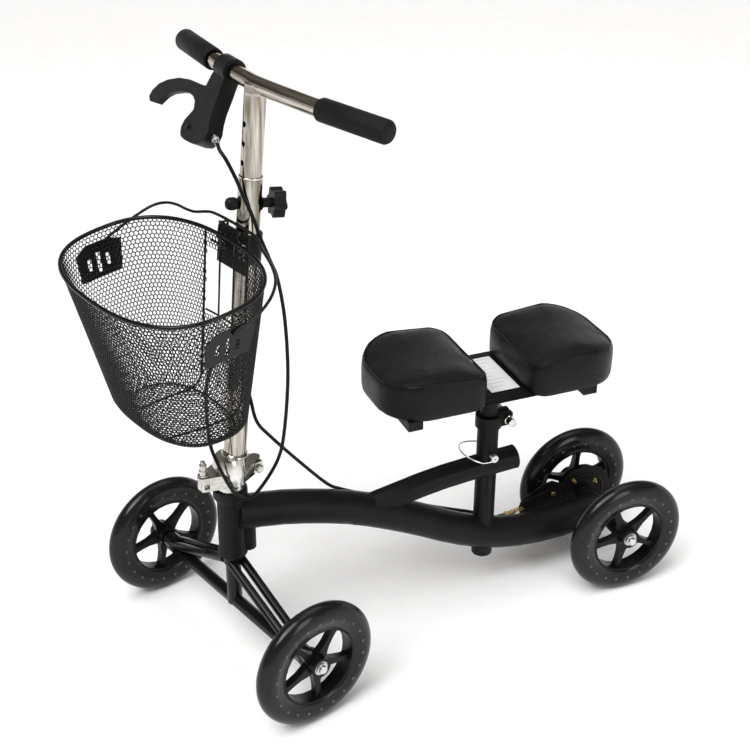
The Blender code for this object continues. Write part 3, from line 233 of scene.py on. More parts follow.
LOOKS = {
    "frame seat_clamp_collar headset_cover seat_post seat_plate brake_plate "
    "brake_arm": (SATIN, "satin_black"),
    "front_truck basket_plate_left basket_plate_right brake_drum": (GLOSS, "gloss_black"),
    "stem_tube": (STEM_CHROME_PAINTED_REFLECTION, "chrome"),
    "handlebar": (BAR_CHROME_PAINTED_REFLECTION, "chrome"),
    "stem_sleeve seat_clamp_bolt seat_clamp_lever": (CHROME, "chrome"),
    "stem_clamp_lower stem_clamp_upper fold_pin latch_lever": (CAST, "chrome"),
    "rear_axle front_axle_bolt_left front_axle_bolt_right safety_pin pin_loop cable_adjuster": (ZINC, "zinc"),
    "brake_anchor_bolt rear_cable_adjuster": (BRASS, "brass"),
    "headset_bearing_upper headset_bearing_lower bearing_front_left bearing_front_right bearing_rear_left "
    "bearing_rear_right": (STEEL, "steel"),
    "lever_pivot_pin": (GLOSS, "steel"),
    "rim_front_left rim_front_right rim_rear_left rim_rear_right": (WHEEL, "wheel_plastic"),
    "branch_end_plug height_bolt height_knob basket_bracket brake_housing "
    "brake_lever": (PLASTIC, "moulded_plastic"),
    "pad_board_front pad_board_rear": (BOARD, "board"),
    "grip_left grip_right": (GRIP, "grip_rubber"),
}


WELD_DISTANCE = 0.00002
EDGE_WIDTH, EDGE_ANGLE = 0.0005, radians(32)


def soften(obj, width=EDGE_WIDTH, segments=2):
    """Rounds a piece's edges and shades it smooth between them."""
    for name in ("custom_normal", "sharp_edge", "sharp_face"):
        found = obj.data.attributes.get(name)
        if found:
            obj.data.attributes.remove(found)
    obj.data.shade_smooth()
    weld = obj.modifiers.new("weld", "WELD")
    weld.merge_threshold = WELD_DISTANCE
    bevel = obj.modifiers.new("edges", "BEVEL")
    bevel.width = width
    bevel.segments = segments
    bevel.limit_method = "ANGLE"
    bevel.angle_limit = EDGE_ANGLE
    bevel.harden_normals = True


WIDE_EDGES = {
    "brake_housing": 0.0024,
    "brake_lever": 0.0018,
    "stem_clamp_upper": 0.0006,
    "stem_clamp_lower": 0.0006,
}

for names, (look, slot) in LOOKS.items():
    for name in names.split():
        obj = NODES[name]
        obj.data.materials.clear()
        obj.data.materials.append(look)
        soften(obj, WIDE_EDGES.get(name, EDGE_WIDTH), 3 if name in WIDE_EDGES else 2)


# Building pieces

def link(name, mesh, look, body, place=SCOOTER, smooth=True):
    """A finished mesh, moved to the row frame and set to ride on a body."""
    mesh.transform(place)
    if smooth:
        mesh.shade_smooth()
    mesh.materials.append(look)
    obj = bpy.data.objects.new(name, mesh)
    bpy.context.scene.collection.objects.link(obj)
    if body:
        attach(obj, body)
    return obj


def from_bmesh(bm, name):
    """A mesh with its faces pointing out; the bmesh is freed."""
    bmesh.ops.recalc_face_normals(bm, faces=bm.faces)
    mesh = bpy.data.meshes.new(name)
    bm.to_mesh(mesh)
    bm.free()
    return mesh


def smooth_path(points, step=0.004, cyclic=False):
    """A Catmull-Rom curve through the points, read about every step metres."""
    points = [Vector(point) for point in points]
    if cyclic:
        padded = [points[-1], *points, points[0], points[1]]
    else:
        padded = [2 * points[0] - points[1], *points, 2 * points[-1] - points[-2]]
    path = []
    for p0, p1, p2, p3 in zip(padded, padded[1:], padded[2:], padded[3:]):
        count = max(1, round((p2 - p1).length / step))
        for number in range(count):
            t = number / count
            bend = 2 * p1 + (p2 - p0) * t + (2 * p0 - 5 * p1 + 4 * p2 - p3) * t * t
            path.append((bend + (3 * p1 - p0 - 3 * p2 + p3) * t**3) / 2)
    if not cyclic:
        path.append(points[-1])
    return path


def sweep(bm, path, radius, sides, cyclic=False):
    """A round tube along a path, added to a bmesh."""
    count = len(path)
    rings, across = [], None
    for number, point in enumerate(path):
        before = path[number - 1] if number or cyclic else point
        after = path[(number + 1) % count] if number < count - 1 or cyclic else point
        along = (after - before).normalized()
        if across is None:
            across = along.orthogonal().normalized()
        across = (across - along * across.dot(along)).normalized()
        other = along.cross(across)
        ring = []
        for k in range(sides):
            turn = tau * k / sides
            ring.append(bm.verts.new(point + radius * (across * cos(turn) + other * sin(turn))))
        rings.append(ring)
    pairs = list(zip(rings, rings[1:]))
    if cyclic:
        last, first = rings[-1], rings[0]
        shift = min(range(sides), key=lambda k: (first[k].co - last[0].co).length)
        pairs.append((last, first[shift:] + first[:shift]))
    else:
        bm.faces.new(reversed(rings[0]))
        bm.faces.new(rings[-1])
    for low, high in pairs:
        for k in range(sides):
            bm.faces.new((low[k], low[(k + 1) % sides], high[(k + 1) % sides], high[k]))


def lathe(bm, profile, place, steps=48):
    """Turns a closed profile of (radius, height) round the local Z of place."""
    rings = []
    for number in range(steps):
        turn = tau * number / steps
        rings.append([bm.verts.new(place @ Vector((r * cos(turn), r * sin(turn), h))) for r, h in profile])
    count = len(profile)
    for number, ring in enumerate(rings):
        after = rings[(number + 1) % steps]
        for k in range(count):
            bm.faces.new((ring[k], ring[(k + 1) % count], after[(k + 1) % count], after[k]))


# Cushions

PAD_LOW, PAD_TOP, PAD_HALF = 0.3705, 0.4356, 0.0835
VOXEL = 0.0045
CLOTH_FRAMES = 20
# How far the cloth moves any point, and how far a swollen cushion reaches past its outline
MOST_SWELL = 0.0065
SPARE_ABOVE, SPARE_SIDE, SPARE_END = 0.004, 0.006, 0.005
SEAM_RADIUS = 0.0015


def pad_outline(low, high, half, low_radius, high_radius, count=12):
    """The cushion's outline from above, with one corner radius at each end."""
    points = []
    corners = [
        (half - high_radius, high - high_radius, high_radius, 0),
        (high_radius - half, high - high_radius, high_radius, 90),
        (low_radius - half, low + low_radius, low_radius, 180),
        (half - low_radius, low + low_radius, low_radius, 270),
    ]
    for x, y, radius, start in corners:
        for number in range(count + 1):
            turn = radians(start + 90 * number / count)
            points.append(Vector((x + radius * cos(turn), y + radius * sin(turn), 0)))
    return points


def edge_height(y, low, high):
    """Height of the cushion's top edge, highest midway along its sides."""
    along = (y - (low + high) / 2) / ((high - low) / 2)
    return PAD_TOP - 0.0150 + 0.0130 * (1 - along * along)


def pad_top(x, y, shrink, low, high):
    """Height of the cushion's dished crown; shrink is 1 at the edge and 0 at the middle."""
    across = x / PAD_HALF
    crown = 0.0085 * (1 - shrink**4)
    dish = 0.0125 * (1 - across * across) * (1 - shrink**2)
    return edge_height(y, low, high) + crown - dish


def build_pad(end, low, high, radii):
    """A foam cushion in vinyl: swollen by a cloth simulation, then seamed."""
    name = "pad_" + end
    middle = (low + high) / 2
    outline = pad_outline(low, high, PAD_HALF, *radii)
    bm = bmesh.new()
    rings = []
    for rise, shrink in ((0.0, 0.990), (0.1, 1.0), (0.7, 1.004), (1.0, 0.998)):
        ring = []
        for p in outline:
            height = PAD_LOW + rise * (edge_height(p.y, low, high) - PAD_LOW)
            ring.append(bm.verts.new((p.x * shrink, middle + (p.y - middle) * shrink, height)))
        rings.append(ring)
    for shrink in (0.97, 0.93, 0.86, 0.76, 0.62, 0.46, 0.30, 0.15):
        ring = []
        for p in outline:
            x, y = p.x * shrink, middle + (p.y - middle) * shrink
            ring.append(bm.verts.new((x, y, pad_top(x, y, shrink, low, high))))
        rings.append(ring)
    for under, over in zip(rings, rings[1:]):
        for k in range(len(under)):
            after = (k + 1) % len(under)
            bm.faces.new((under[k], under[after], over[after], over[k]))
    bm.faces.new(reversed(rings[0]))
    bm.faces.new(rings[-1])
    mesh = from_bmesh(bm, name + "_cushion")
    obj = bpy.data.objects.new(name + "_cushion", mesh)
    bpy.context.scene.collection.objects.link(obj)
    remesh = obj.modifiers.new("remesh", "REMESH")
    remesh.mode = "VOXEL"
    remesh.voxel_size = VOXEL
    bake(obj)
    swell(obj, MOST_SWELL)
    for vertex in obj.data.vertices:
        vertex.co.z = min(max(vertex.co.z, PAD_LOW), PAD_TOP + SPARE_ABOVE)
        vertex.co.x = min(max(vertex.co.x, -PAD_HALF - SPARE_SIDE), PAD_HALF + SPARE_SIDE)
        vertex.co.y = min(max(vertex.co.y, low - SPARE_END), high + SPARE_END)
    smoothing = obj.modifiers.new("relax", "CORRECTIVE_SMOOTH")
    smoothing.use_only_smooth = True
    smoothing.iterations = 6
    rounding = obj.modifiers.new("round", "SUBSURF")
    rounding.levels = rounding.render_levels = 1
    bake(obj)
    tree = BVHTree.FromObject(obj, bpy.context.evaluated_depsgraph_get())
    seams = bmesh.new()
    line = []
    for p in pad_outline(low, high, PAD_HALF, *radii, count=14):
        height = edge_height(p.y, low, high) + 0.0005
        start = Vector((p.x * 1.3, middle + (p.y - middle) * 1.3, height))
        hit, normal, _, _ = tree.ray_cast(start, (Vector((0, middle, height)) - start).normalized())
        line.append(hit + normal * 0.0004)
    sweep(seams, smooth_path(line, 0.003, True), SEAM_RADIUS, 8, True)
    seam = link(name + "_seam", from_bmesh(seams, name + "_seam"), VINYL, None)
    obj.data.transform(SCOOTER)
    obj.data.shade_smooth()
    obj.data.materials.clear()
    obj.data.materials.append(VINYL)
    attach(obj, "knee_rest")
    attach(seam, "knee_rest")
    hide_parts(name)


def bake(obj):
    """Applies an object's modifiers to its mesh."""
    graph = bpy.context.evaluated_depsgraph_get()
    mesh = bpy.data.meshes.new_from_object(obj.evaluated_get(graph), depsgraph=graph)
    obj.modifiers.clear()
    obj.data = mesh


def swell(obj, most):
    """Blows the cushion up with a pressurised cloth and caps how far each point goes."""
    before = [vertex.co.copy() for vertex in obj.data.vertices]
    cloth = obj.modifiers.new("cloth", "CLOTH")
    cloth.settings.quality = 6
    cloth.settings.mass = 0.3
    cloth.settings.use_pressure = True
    cloth.settings.uniform_pressure_force = 4.0
    cloth.settings.tension_stiffness = 30
    cloth.settings.compression_stiffness = 30
    cloth.settings.bending_stiffness = 6
    cloth.settings.effector_weights.gravity = 0
    cloth.collision_settings.use_collision = False
    for number in range(1, CLOTH_FRAMES + 1):
        bpy.context.scene.frame_set(number)
    bake(obj)
    bpy.context.scene.frame_set(1)
    for vertex, start in zip(obj.data.vertices, before):
        move = vertex.co - start
        if move.length > most:
            move *= most / move.length
        vertex.co = start + move


build_pad("front", 0.2100, 0.3620, (0.0640, 0.0240))
build_pad("rear", 0.4300, 0.5795, (0.0240, 0.0600))


# Seat plate

LABEL_LOW, LABEL_TOP, RULE_TOP = 0.3753, 0.3756, 0.37568
RULES = 9


def slab(bm, low, high):
    """A box between two corners, added to a bmesh."""
    middle = [(a + b) / 2 for a, b in zip(low, high)]
    size = [b - a for a, b in zip(low, high)]
    bmesh.ops.create_cube(bm, size=1, matrix=Matrix.LocRotScale(middle, None, size))


def build_label():
    """The plate's blank label, with plain rules across it."""
    bm = bmesh.new()
    slab(bm, (-0.0560, 0.3810, LABEL_LOW), (0.0440, 0.4260, LABEL_TOP))
    link("plate_label", from_bmesh(bm, "plate_label"), LABEL, "knee_rest", smooth=False)
    bm = bmesh.new()
    for number in range(RULES):
        x = -0.0500 + 0.0100 * number
        slab(bm, (x, 0.3860, LABEL_TOP), (x + 0.0008, 0.4200 - 0.007 * (number % 3), RULE_TOP))
    link("label_rules", from_bmesh(bm, "label_rules"), PRINT, "knee_rest", smooth=False)


def build_feet():
    """The short dark feet that show under the cushions' sides."""
    bm = bmesh.new()
    for middle in (0.2480, 0.5240):
        for side in (-1, 1):
            ends = sorted((side * 0.0600, side * 0.0768))
            slab(bm, (ends[0], middle - 0.0106, 0.3602), (ends[1], middle + 0.0106, 0.3721))
    mesh = from_bmesh(bm, "channel_feet")
    link("channel_feet", mesh, PLASTIC, "knee_rest", smooth=False)


build_label()
build_feet()


# Wheels

AXLE_Z, REAR_AXLE_Y = 0.0953, 0.607
FRONT_HALF_TRACK, REAR_HALF_TRACK = 0.194, 0.08375
WHEELS = {
    "front_left": (STEERED @ Matrix.Translation((FRONT_HALF_TRACK, 0, AXLE_Z)), 0),
    "front_right": (STEERED @ Matrix.Translation((-FRONT_HALF_TRACK, 0, AXLE_Z)), 5),
    "rear_left": (SCOOTER @ Matrix.Translation((REAR_HALF_TRACK, REAR_AXLE_Y, AXLE_Z)), 3),
    "rear_right": (SCOOTER @ Matrix.Translation((-REAR_HALF_TRACK, REAR_AXLE_Y, AXLE_Z)), 8),
}
TYRE_BORE, TYRE_MIDDLE, TYRE_DEPTH, TYRE_HALF = 0.0597, 0.0772, 0.0181, 0.0145
DIMPLES, DIMPLE_RING = 22, 0.0742
DIMPLE_OUT, DIMPLE_SIZE = 0.01405, (0.0025, 0.0025, 0.0006, 1)


def build_tyre(name, place, phase):
    """A smooth solid tyre, with a ring of small shallow dots on each side."""
    axis = place @ Matrix.Rotation(pi / 2, 4, "Y")
    section = []
    for number in range(33):
        turn = radians(125 - 250 * number / 32)
        section.append((TYRE_MIDDLE + TYRE_DEPTH * cos(turn), TYRE_HALF * sin(turn)))
    section += [(TYRE_BORE, section[-1][1]), (TYRE_BORE, section[0][1])]
    bm = bmesh.new()
    lathe(bm, section, axis, 96)
    mesh = from_bmesh(bm, "tyre_skin")
    tyre = link("tyre_skin_" + name, mesh, TYRE, "wheel_" + name, Matrix.Identity(4))
    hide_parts("tyre_" + name)
    dots = bmesh.new()
    for side in (-1, 1):
        for number in range(DIMPLES):
            turn = tau * number / DIMPLES + radians(phase)
            out = Matrix.Translation((DIMPLE_RING, 0, side * DIMPLE_OUT))
            spot = axis @ Matrix.Rotation(turn, 4, "Z") @ out @ Matrix.Diagonal(DIMPLE_SIZE)
            bmesh.ops.create_uvsphere(dots, u_segments=12, v_segments=6, radius=1, matrix=spot)
    mesh = from_bmesh(dots, "tyre_dimples")
    link("tyre_dimples_" + name, mesh, STUD, "wheel_" + name, Matrix.Identity(4))


for name, (place, phase) in WHEELS.items():
    build_tyre(name, place, phase)


# Basket

RIM_Z, BASE_Z = 0.6420, 0.4250
RIM_SIZE, BASE_SIZE = (0.1557, 0.1030), (0.1040, 0.0690)
RIM_CENTRE, BASE_CENTRE = -0.0875, -0.0715
RIM_TILT = 0.125
WALL_HEIGHT = RIM_Z - BASE_Z
FLOOR_Z = BASE_Z + 0.0012
WALL_INSET = 0.0015
# Power of the outline's cosine and sine: 1 is an ellipse, and less is squarer
SQUARENESS = 0.8
# Steps in which the girth is measured, and the height share at which it is
GIRTH_STEPS, GIRTH_SHARE = 1440, 0.6
# The wall's rounded foot, and the share of the rows that it takes
CORNER_RADIUS, CORNER_ROWS = 0.0200, 0.12
# The cells: counts round and up the wall, how far their corners zigzag in rows, and the floor's cell size
COLUMNS, ROWS = 272, 42
ZIGZAG = 0.34
FLOOR_CELL, FLOOR_ROW = 0.0030, 1.7
FLOOR_POWER, FLOOR_REACH = 2.5, 0.97
WIRE = 0.00088
RIM_RADIUS, UPRIGHT_RADIUS, THIN_RADIUS = 0.0028, 0.0016, 0.0014
WINDOW_LOW = 0.5360


def basket_point(turn, share, inset=WALL_INSET):
    """A point of the basket's wall: turn in radians round it, share 0 at its base and 1 at its rim."""
    half_x, half_y = (base + (rim - base) * share - inset for base, rim in zip(BASE_SIZE, RIM_SIZE))
    x = half_x * abs(cos(turn)) ** SQUARENESS * (1 if cos(turn) >= 0 else -1)
    y = half_y * abs(sin(turn)) ** SQUARENESS * (1 if sin(turn) >= 0 else -1)
    centre = BASE_CENTRE + (RIM_CENTRE - BASE_CENTRE) * share
    return Vector((x, centre + y, BASE_Z + WALL_HEIGHT * share + RIM_TILT * share * y))


def even_turns(count):
    """Turns that divide the basket's girth evenly."""
    dense = [basket_point(tau * k / GIRTH_STEPS, GIRTH_SHARE) for k in range(GIRTH_STEPS + 1)]
    reach = [0.0]
    for one, other in zip(dense, dense[1:]):
        reach.append(reach[-1] + (other - one).length)
    turns, at = [], 0
    for number in range(count):
        goal = reach[-1] * number / count
        while reach[at + 1] < goal:
            at += 1
        turns.append(tau * (at + (goal - reach[at]) / (reach[at + 1] - reach[at])) / GIRTH_STEPS)
    return turns


def wall_point(turn, height):
    """A point of the wall or of its rounded foot, at a height share from 0 to 1."""
    corner = CORNER_RADIUS / WALL_HEIGHT
    if height < CORNER_ROWS:
        bend = pi / 2 * (1 - height / CORNER_ROWS)
        point = basket_point(turn, corner * (1 - sin(bend)), WALL_INSET + CORNER_RADIUS * (1 - cos(bend)))
        return Vector((point.x, point.y, FLOOR_Z + CORNER_RADIUS * (1 - sin(bend))))
    share = corner + (1 - corner) * (height - CORNER_ROWS) / (1 - CORNER_ROWS)
    return basket_point(turn, share)


def in_window(point):
    """Whether a point lies in the open window of the basket's back, at the bracket."""
    return abs(point.x) < 0.047 and point.y > -0.03 and 0.537 < point.z < 0.632


def build_basket():
    """The basket's wire mesh: six-sided cells over the wall and floor, each edge made a wire."""
    turns = even_turns(COLUMNS)
    bm = bmesh.new()
    grid = []
    for row in range(ROWS + 1):
        ring = []
        for column in range(COLUMNS):
            zig = ((column + row) % 2 - 0.5) * ZIGZAG
            height = min(max((row + zig) / ROWS, 0.0), 1.0)
            ring.append(bm.verts.new(wall_point(turns[column], height)))
        grid.append(ring)
    for row in range(ROWS):
        for column in range(COLUMNS):
            if (column + row) % 2 == 0:
                continue
            near, far = (column + 1) % COLUMNS, (column + 2) % COLUMNS
            cell = [grid[row][k] for k in (column, near, far)]
            cell += [grid[row + 1][k] for k in (far, near, column)]
            middle = sum((vertex.co for vertex in cell), Vector()) / 6
            if not in_window(middle):
                bm.faces.new(cell)
    add_floor(bm, [vertex.co.copy() for vertex in grid[0]])
    loose = [vertex for vertex in bm.verts if not vertex.link_faces]
    bmesh.ops.delete(bm, geom=loose, context="VERTS")
    mesh = from_bmesh(bm, "basket_mesh")
    obj = link("basket_mesh", mesh, GLOSS, "basket", STEERED)
    wires = obj.modifiers.new("wires", "WIREFRAME")
    wires.thickness = 2 * WIRE
    wires.use_even_offset = False
    wires.offset = 0
    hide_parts("basket")


def add_floor(bm, edge):
    """The floor's mesh, inside the foot of the wall."""
    high = max(point.y for point in edge)
    low = min(point.y for point in edge)
    wide = max(point.x for point in edge)
    made = {}

    def vertex(column, row):
        key = (column, row)
        if key not in made:
            zig = ((column + row) % 2 - 0.5) * ZIGZAG
            x = -wide + column * FLOOR_CELL
            made[key] = bm.verts.new((x, low + (row + zig) * FLOOR_CELL * FLOOR_ROW, FLOOR_Z))
        return made[key]

    centre_y = (high + low) / 2
    half_y = (high - low) / 2
    for row in range(int((high - low) / (FLOOR_CELL * FLOOR_ROW)) + 1):
        for column in range(int(2 * wide / FLOOR_CELL) + 1):
            if (column + row) % 2 == 0:
                continue
            x = (-wide + (column + 1) * FLOOR_CELL) / wide
            y = (low + (row + 0.5) * FLOOR_CELL * FLOOR_ROW - centre_y) / half_y
            if abs(x) ** FLOOR_POWER + abs(y) ** FLOOR_POWER < FLOOR_REACH:
                near = [vertex(column + k, row) for k in range(3)]
                far = [vertex(column + 2 - k, row + 1) for k in range(3)]
                bm.faces.new(near + far)


def build_basket_wires():
    """The rim, the foot ring, the wires of the back and the hooks at the rim."""
    bm = bmesh.new()
    rim = [basket_point(tau * k / 48, 1.0) for k in range(48)]
    sweep(bm, smooth_path(rim, 0.006, True), RIM_RADIUS, 12, True)
    foot_ring = [wall_point(tau * k / 48, 0.02) for k in range(48)]
    sweep(bm, smooth_path(foot_ring, 0.006, True), THIN_RADIUS, 8, True)
    for x in (-0.0480, 0.0480):
        upright = []
        for share in (1.0, 0.8, 0.6, 0.4, 0.25, 0.12, 0.05, 0.0):
            turn = min((radians(k / 4) for k in range(721)), key=lambda t: abs(wall_point(t, share).x - x))
            upright.append(wall_point(turn, share))
        foot = [(x, -0.0400, FLOOR_Z), (x, -0.0715, FLOOR_Z), (x * 0.9, -0.1150, FLOOR_Z)]
        sweep(bm, smooth_path([*upright, *foot], 0.006), UPRIGHT_RADIUS, 8)
    for height in (WINDOW_LOW, 0.6300):
        share = (height - BASE_Z) / WALL_HEIGHT
        line = [basket_point(radians(90 + k * 5), share) for k in range(-4, 5)]
        line = [point for point in line if abs(point.x) < 0.051]
        sweep(bm, smooth_path(line, 0.006), THIN_RADIUS, 8)
    for x in (-0.0160, 0.0160):
        shares = ((WINDOW_LOW - BASE_Z) / WALL_HEIGHT, 1.0)
        ends = [basket_point(radians(90) - x / 0.13, share) for share in shares]
        sweep(bm, [Vector((x, end.y, end.z)) for end in ends], THIN_RADIUS, 8)
    hook = [
        (0.0135, 0.6480), (0.0160, 0.6660), (0.0190, 0.6690),
        (0.0270, 0.6690), (0.0292, 0.6650), (0.0288, 0.6610),
    ]
    for side in (-1, 1):
        sweep(bm, smooth_path([(side * 0.0220, y, z) for y, z in hook], 0.003), UPRIGHT_RADIUS, 8)
    link("basket_wires", from_bmesh(bm, "basket_wires"), GLOSS, "basket", STEERED)


build_basket()
build_basket_wires()

PIVOT_Y = -0.0875
PLATE_SLOTS = ((-0.0180, 0.588, 0.604), (-0.0040, 0.584, 0.610), (0.0100, 0.590, 0.606))
PLATE_OUT, SLOT_HALF, SLOT_REACH = 0.150, 0.0028, 0.03


def pierce_plate(side):
    """A side plate with a plain pattern of slots cut through it."""
    name = "basket_plate_" + ("left" if side > 0 else "right")
    source = NODES[name]
    obj = bpy.data.objects.new(name + "_pierced", source.data.copy())
    bpy.context.scene.collection.objects.link(obj)
    obj.modifiers.new("weld", "WELD").merge_threshold = WELD_DISTANCE
    cutters = []
    for number, (y, low, high) in enumerate(PLATE_SLOTS):
        bm = bmesh.new()
        out, middle = side * PLATE_OUT, PIVOT_Y + y
        slab(bm, (out - SLOT_REACH, middle - SLOT_HALF, low), (out + SLOT_REACH, middle + SLOT_HALF, high))
        mesh = from_bmesh(bm, "slot_cutter")
        mesh.transform(STEERED)
        cutter = bpy.data.objects.new(f"slot_cutter_{number}", mesh)
        bpy.context.scene.collection.objects.link(cutter)
        cutters.append(cutter)
        cut = obj.modifiers.new("slot", "BOOLEAN")
        cut.object = cutter
        cut.solver = "EXACT"
    bake(obj)
    for cutter in cutters:
        bpy.data.objects.remove(cutter)
    obj.data.materials.clear()
    obj.data.materials.append(GLOSS)
    soften(obj, 0.0003)
    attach(obj, "basket")
    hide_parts(name)


def build_clips():
    """The bracket's two bent clips, which hold the basket's back."""
    bm = bmesh.new()
    for side in (-1, 1):
        edges = sorted((side * 0.0150, side * 0.0290))
        slab(bm, (edges[0], -0.0243, 0.3980), (edges[1], -0.0228, 0.4210))
        slab(bm, (edges[0], -0.0290, 0.4195), (edges[1], -0.0228, 0.4210))
        slab(bm, (edges[0], -0.0290, 0.4120), (edges[1], -0.0277, 0.4210))
    mesh = from_bmesh(bm, "bracket_clips")
    soften(link("bracket_clips", mesh, CHROME, "stem", STEM, False))


for side in (-1, 1):
    pierce_plate(side)
build_clips()

# The bail's wire, from the left pivot to the middle; the right half bows further back
BAIL_LEFT = [
    (0.1590, -0.0875, 0.6150), (0.1620, -0.0740, 0.6210), (0.1620, -0.0560, 0.6300),
    (0.1580, -0.0350, 0.6420), (0.1480, -0.0190, 0.6500), (0.1340, -0.0070, 0.6560),
    (0.1160, 0.0020, 0.6600), (0.0980, 0.0085, 0.6630), (0.0800, 0.0135, 0.6660),
    (0.0620, 0.0195, 0.6700), (0.0450, 0.0240, 0.6730),
]
BAIL_RIGHT = [
    (-0.1590, -0.0875, 0.6150), (-0.1625, -0.0700, 0.6230), (-0.1635, -0.0450, 0.6340),
    (-0.1615, -0.0180, 0.6460), (-0.1545, -0.0010, 0.6545), (-0.1410, 0.0100, 0.6595),
    (-0.1210, 0.0145, 0.6620), (-0.1010, 0.0145, 0.6630), (-0.0810, 0.0160, 0.6650),
    (-0.0620, 0.0215, 0.6700), (-0.0450, 0.0240, 0.6730),
]
BAIL = [*BAIL_LEFT, (0.0, 0.0245, 0.6740), *reversed(BAIL_RIGHT)]
BAIL_RADIUS = 0.0020


def build_bail():
    """The basket's carrying bail, folded back behind its rim."""
    bm = bmesh.new()
    sweep(bm, smooth_path(BAIL), BAIL_RADIUS, 12)
    bail = link("bail_wire", from_bmesh(bm, "bail_wire"), GLOSS, "bail", STEERED)
    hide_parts("basket_bail")


build_bail()


# Fold clamp

LATCH_Y, LATCH_Z = -0.0420, 0.3020
LATCH_RINGS = ((0.3182, 0.3196, 0.0082, 20), (0.3196, 0.3262, 0.0068, 6), (0.3262, 0.3350, 0.0052, 16))


def build_latch():
    """The latch's eye bolt, with its washer, six-sided nut and round end."""
    bm = bmesh.new()
    eye = Vector((0, LATCH_Y, LATCH_Z))
    sweep(bm, [eye - Vector((0.0058, 0, 0)), eye + Vector((0.0058, 0, 0))], 0.0030, 12)
    sweep(bm, [eye, Vector((0, LATCH_Y, 0.3400))], 0.0034, 14)
    bolt = link("latch_bolt", from_bmesh(bm, "latch_bolt"), STEEL, "latch", STEERED)
    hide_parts("latch_lever")
    top = bmesh.new()
    for low, high, radius, sides in LATCH_RINGS:
        sweep(top, [Vector((0, LATCH_Y, low)), Vector((0, LATCH_Y, high))], radius, sides)
    soften(link("latch_nut", from_bmesh(top, "latch_nut"), CAST, "latch", STEERED, False))


def build_stem_collar():
    """The short flared neck where the stem tube stands in the clamp."""
    bm = bmesh.new()
    profile = [
        (0.0192, 0.0990), (0.0193, 0.1004), (0.0186, 0.1016), (0.0175, 0.1024),
        (0.0168, 0.1036), (0.0161, 0.1040), (0.0161, 0.0990),
    ]
    lathe(bm, profile, Matrix.Identity(4), 48)
    link("stem_collar", from_bmesh(bm, "stem_collar"), CAST, "stem", STEM)


build_latch()
build_stem_collar()


# Rear brake

PLATE_X = -0.0459
# Each stud's y, z and radius, then its washer, nut and end: from, to, radius over the stud's, and sides
STUDS = ((0.5860, 0.1210, 0.0024), (0.6250, 0.1130, 0.0019), (0.5790, 0.0800, 0.0019))
STUD_STEPS = ((0.0, 0.0016, 1.7, 14), (0.0016, 0.0052, 1.35, 6), (0.0052, 0.0085, 0.7, 14))
COIL_RADIUS, COIL_WIRE, COIL_TURNS, COIL_STEPS = 0.0038, 0.0005, 9, 160


def build_brake_details():
    """The stamped rings of the brake plate, its fixings and the return spring."""
    rings = bmesh.new()
    hub = Vector((PLATE_X, REAR_AXLE_Y, AXLE_Z))
    for radius, tube_radius in ((0.0330, 0.0016), (0.0245, 0.0013)):
        turns = [tau * k / 48 for k in range(48)]
        line = [hub + Vector((0, radius * cos(turn), radius * sin(turn))) for turn in turns]
        sweep(rings, line, tube_radius, 8, True)
    link("brake_plate_rings", from_bmesh(rings, "brake_plate_rings"), SATIN, "frame")
    studs = bmesh.new()
    seat = PLATE_X - 0.001
    for y, z, radius in STUDS:
        for low, high, size, sides in STUD_STEPS:
            sweep(studs, [Vector((seat + low, y, z)), Vector((seat + high, y, z))], radius * size, sides)
    fixings = link("brake_fixings", from_bmesh(studs, "brake_fixings"), BRASS, "frame", smooth=False)
    soften(fixings, 0.0003)
    start, end = Vector((-0.0405, 0.4680, 0.0905)), Vector((-0.0405, 0.4930, 0.0965))
    coil = bmesh.new()
    line = []
    for number in range(COIL_STEPS + 1):
        turn = tau * COIL_TURNS * number / COIL_STEPS
        out = Vector((COIL_RADIUS * cos(turn), 0, COIL_RADIUS * sin(turn)))
        line.append(start.lerp(end, number / COIL_STEPS) + out)
    sweep(coil, line, COIL_WIRE, 6)
    sweep(coil, [start - Vector((0, 0.004, 0)), end], 0.0008, 8)
    spring = link("brake_spring", from_bmesh(coil, "brake_spring"), BRASS, None)
    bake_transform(spring)


build_brake_details()


# Brake cable

CABLE_RADIUS = 0.0025
# The cable's route: its start at the lever in the row frame, then two lists in the steered frame and one
# in the scooter's
CABLE_START = [(-0.0217, -0.2359, 0.7705), (-0.0112, -0.2365, 0.7657)]
HANGING = [
    (-0.0130, 0.0240, 0.7570), (-0.0050, 0.0275, 0.7430), (0.0030, 0.0305, 0.7280), (0.0105, 0.0330, 0.7120),
    (0.0180, 0.0370, 0.6950), (0.0240, 0.0405, 0.6780), (0.0300, 0.0450, 0.6560), (0.0370, 0.0530, 0.6270),
    (0.0430, 0.0600, 0.6000), (0.0470, 0.0670, 0.5400), (0.0480, 0.0690, 0.4560),
]
LOOP = [
    (0.0480, 0.0690, 0.4560), (0.0470, 0.0620, 0.3740), (0.0450, 0.0520, 0.3310), (0.0400, 0.0290, 0.2950),
    (0.0340, 0.0080, 0.2760), (0.0310, -0.0110, 0.2910), (0.0280, -0.0230, 0.3150), (0.0150, -0.0290, 0.3430),
    (0, -0.0280, 0.3600), (-0.0200, -0.0190, 0.3880), (-0.0430, -0.0040, 0.4130), (-0.0560, 0.0120, 0.4380),
    (-0.0500, 0.0320, 0.4520), (-0.0300, 0.0440, 0.4400), (-0.0060, 0.0420, 0.4120),
]
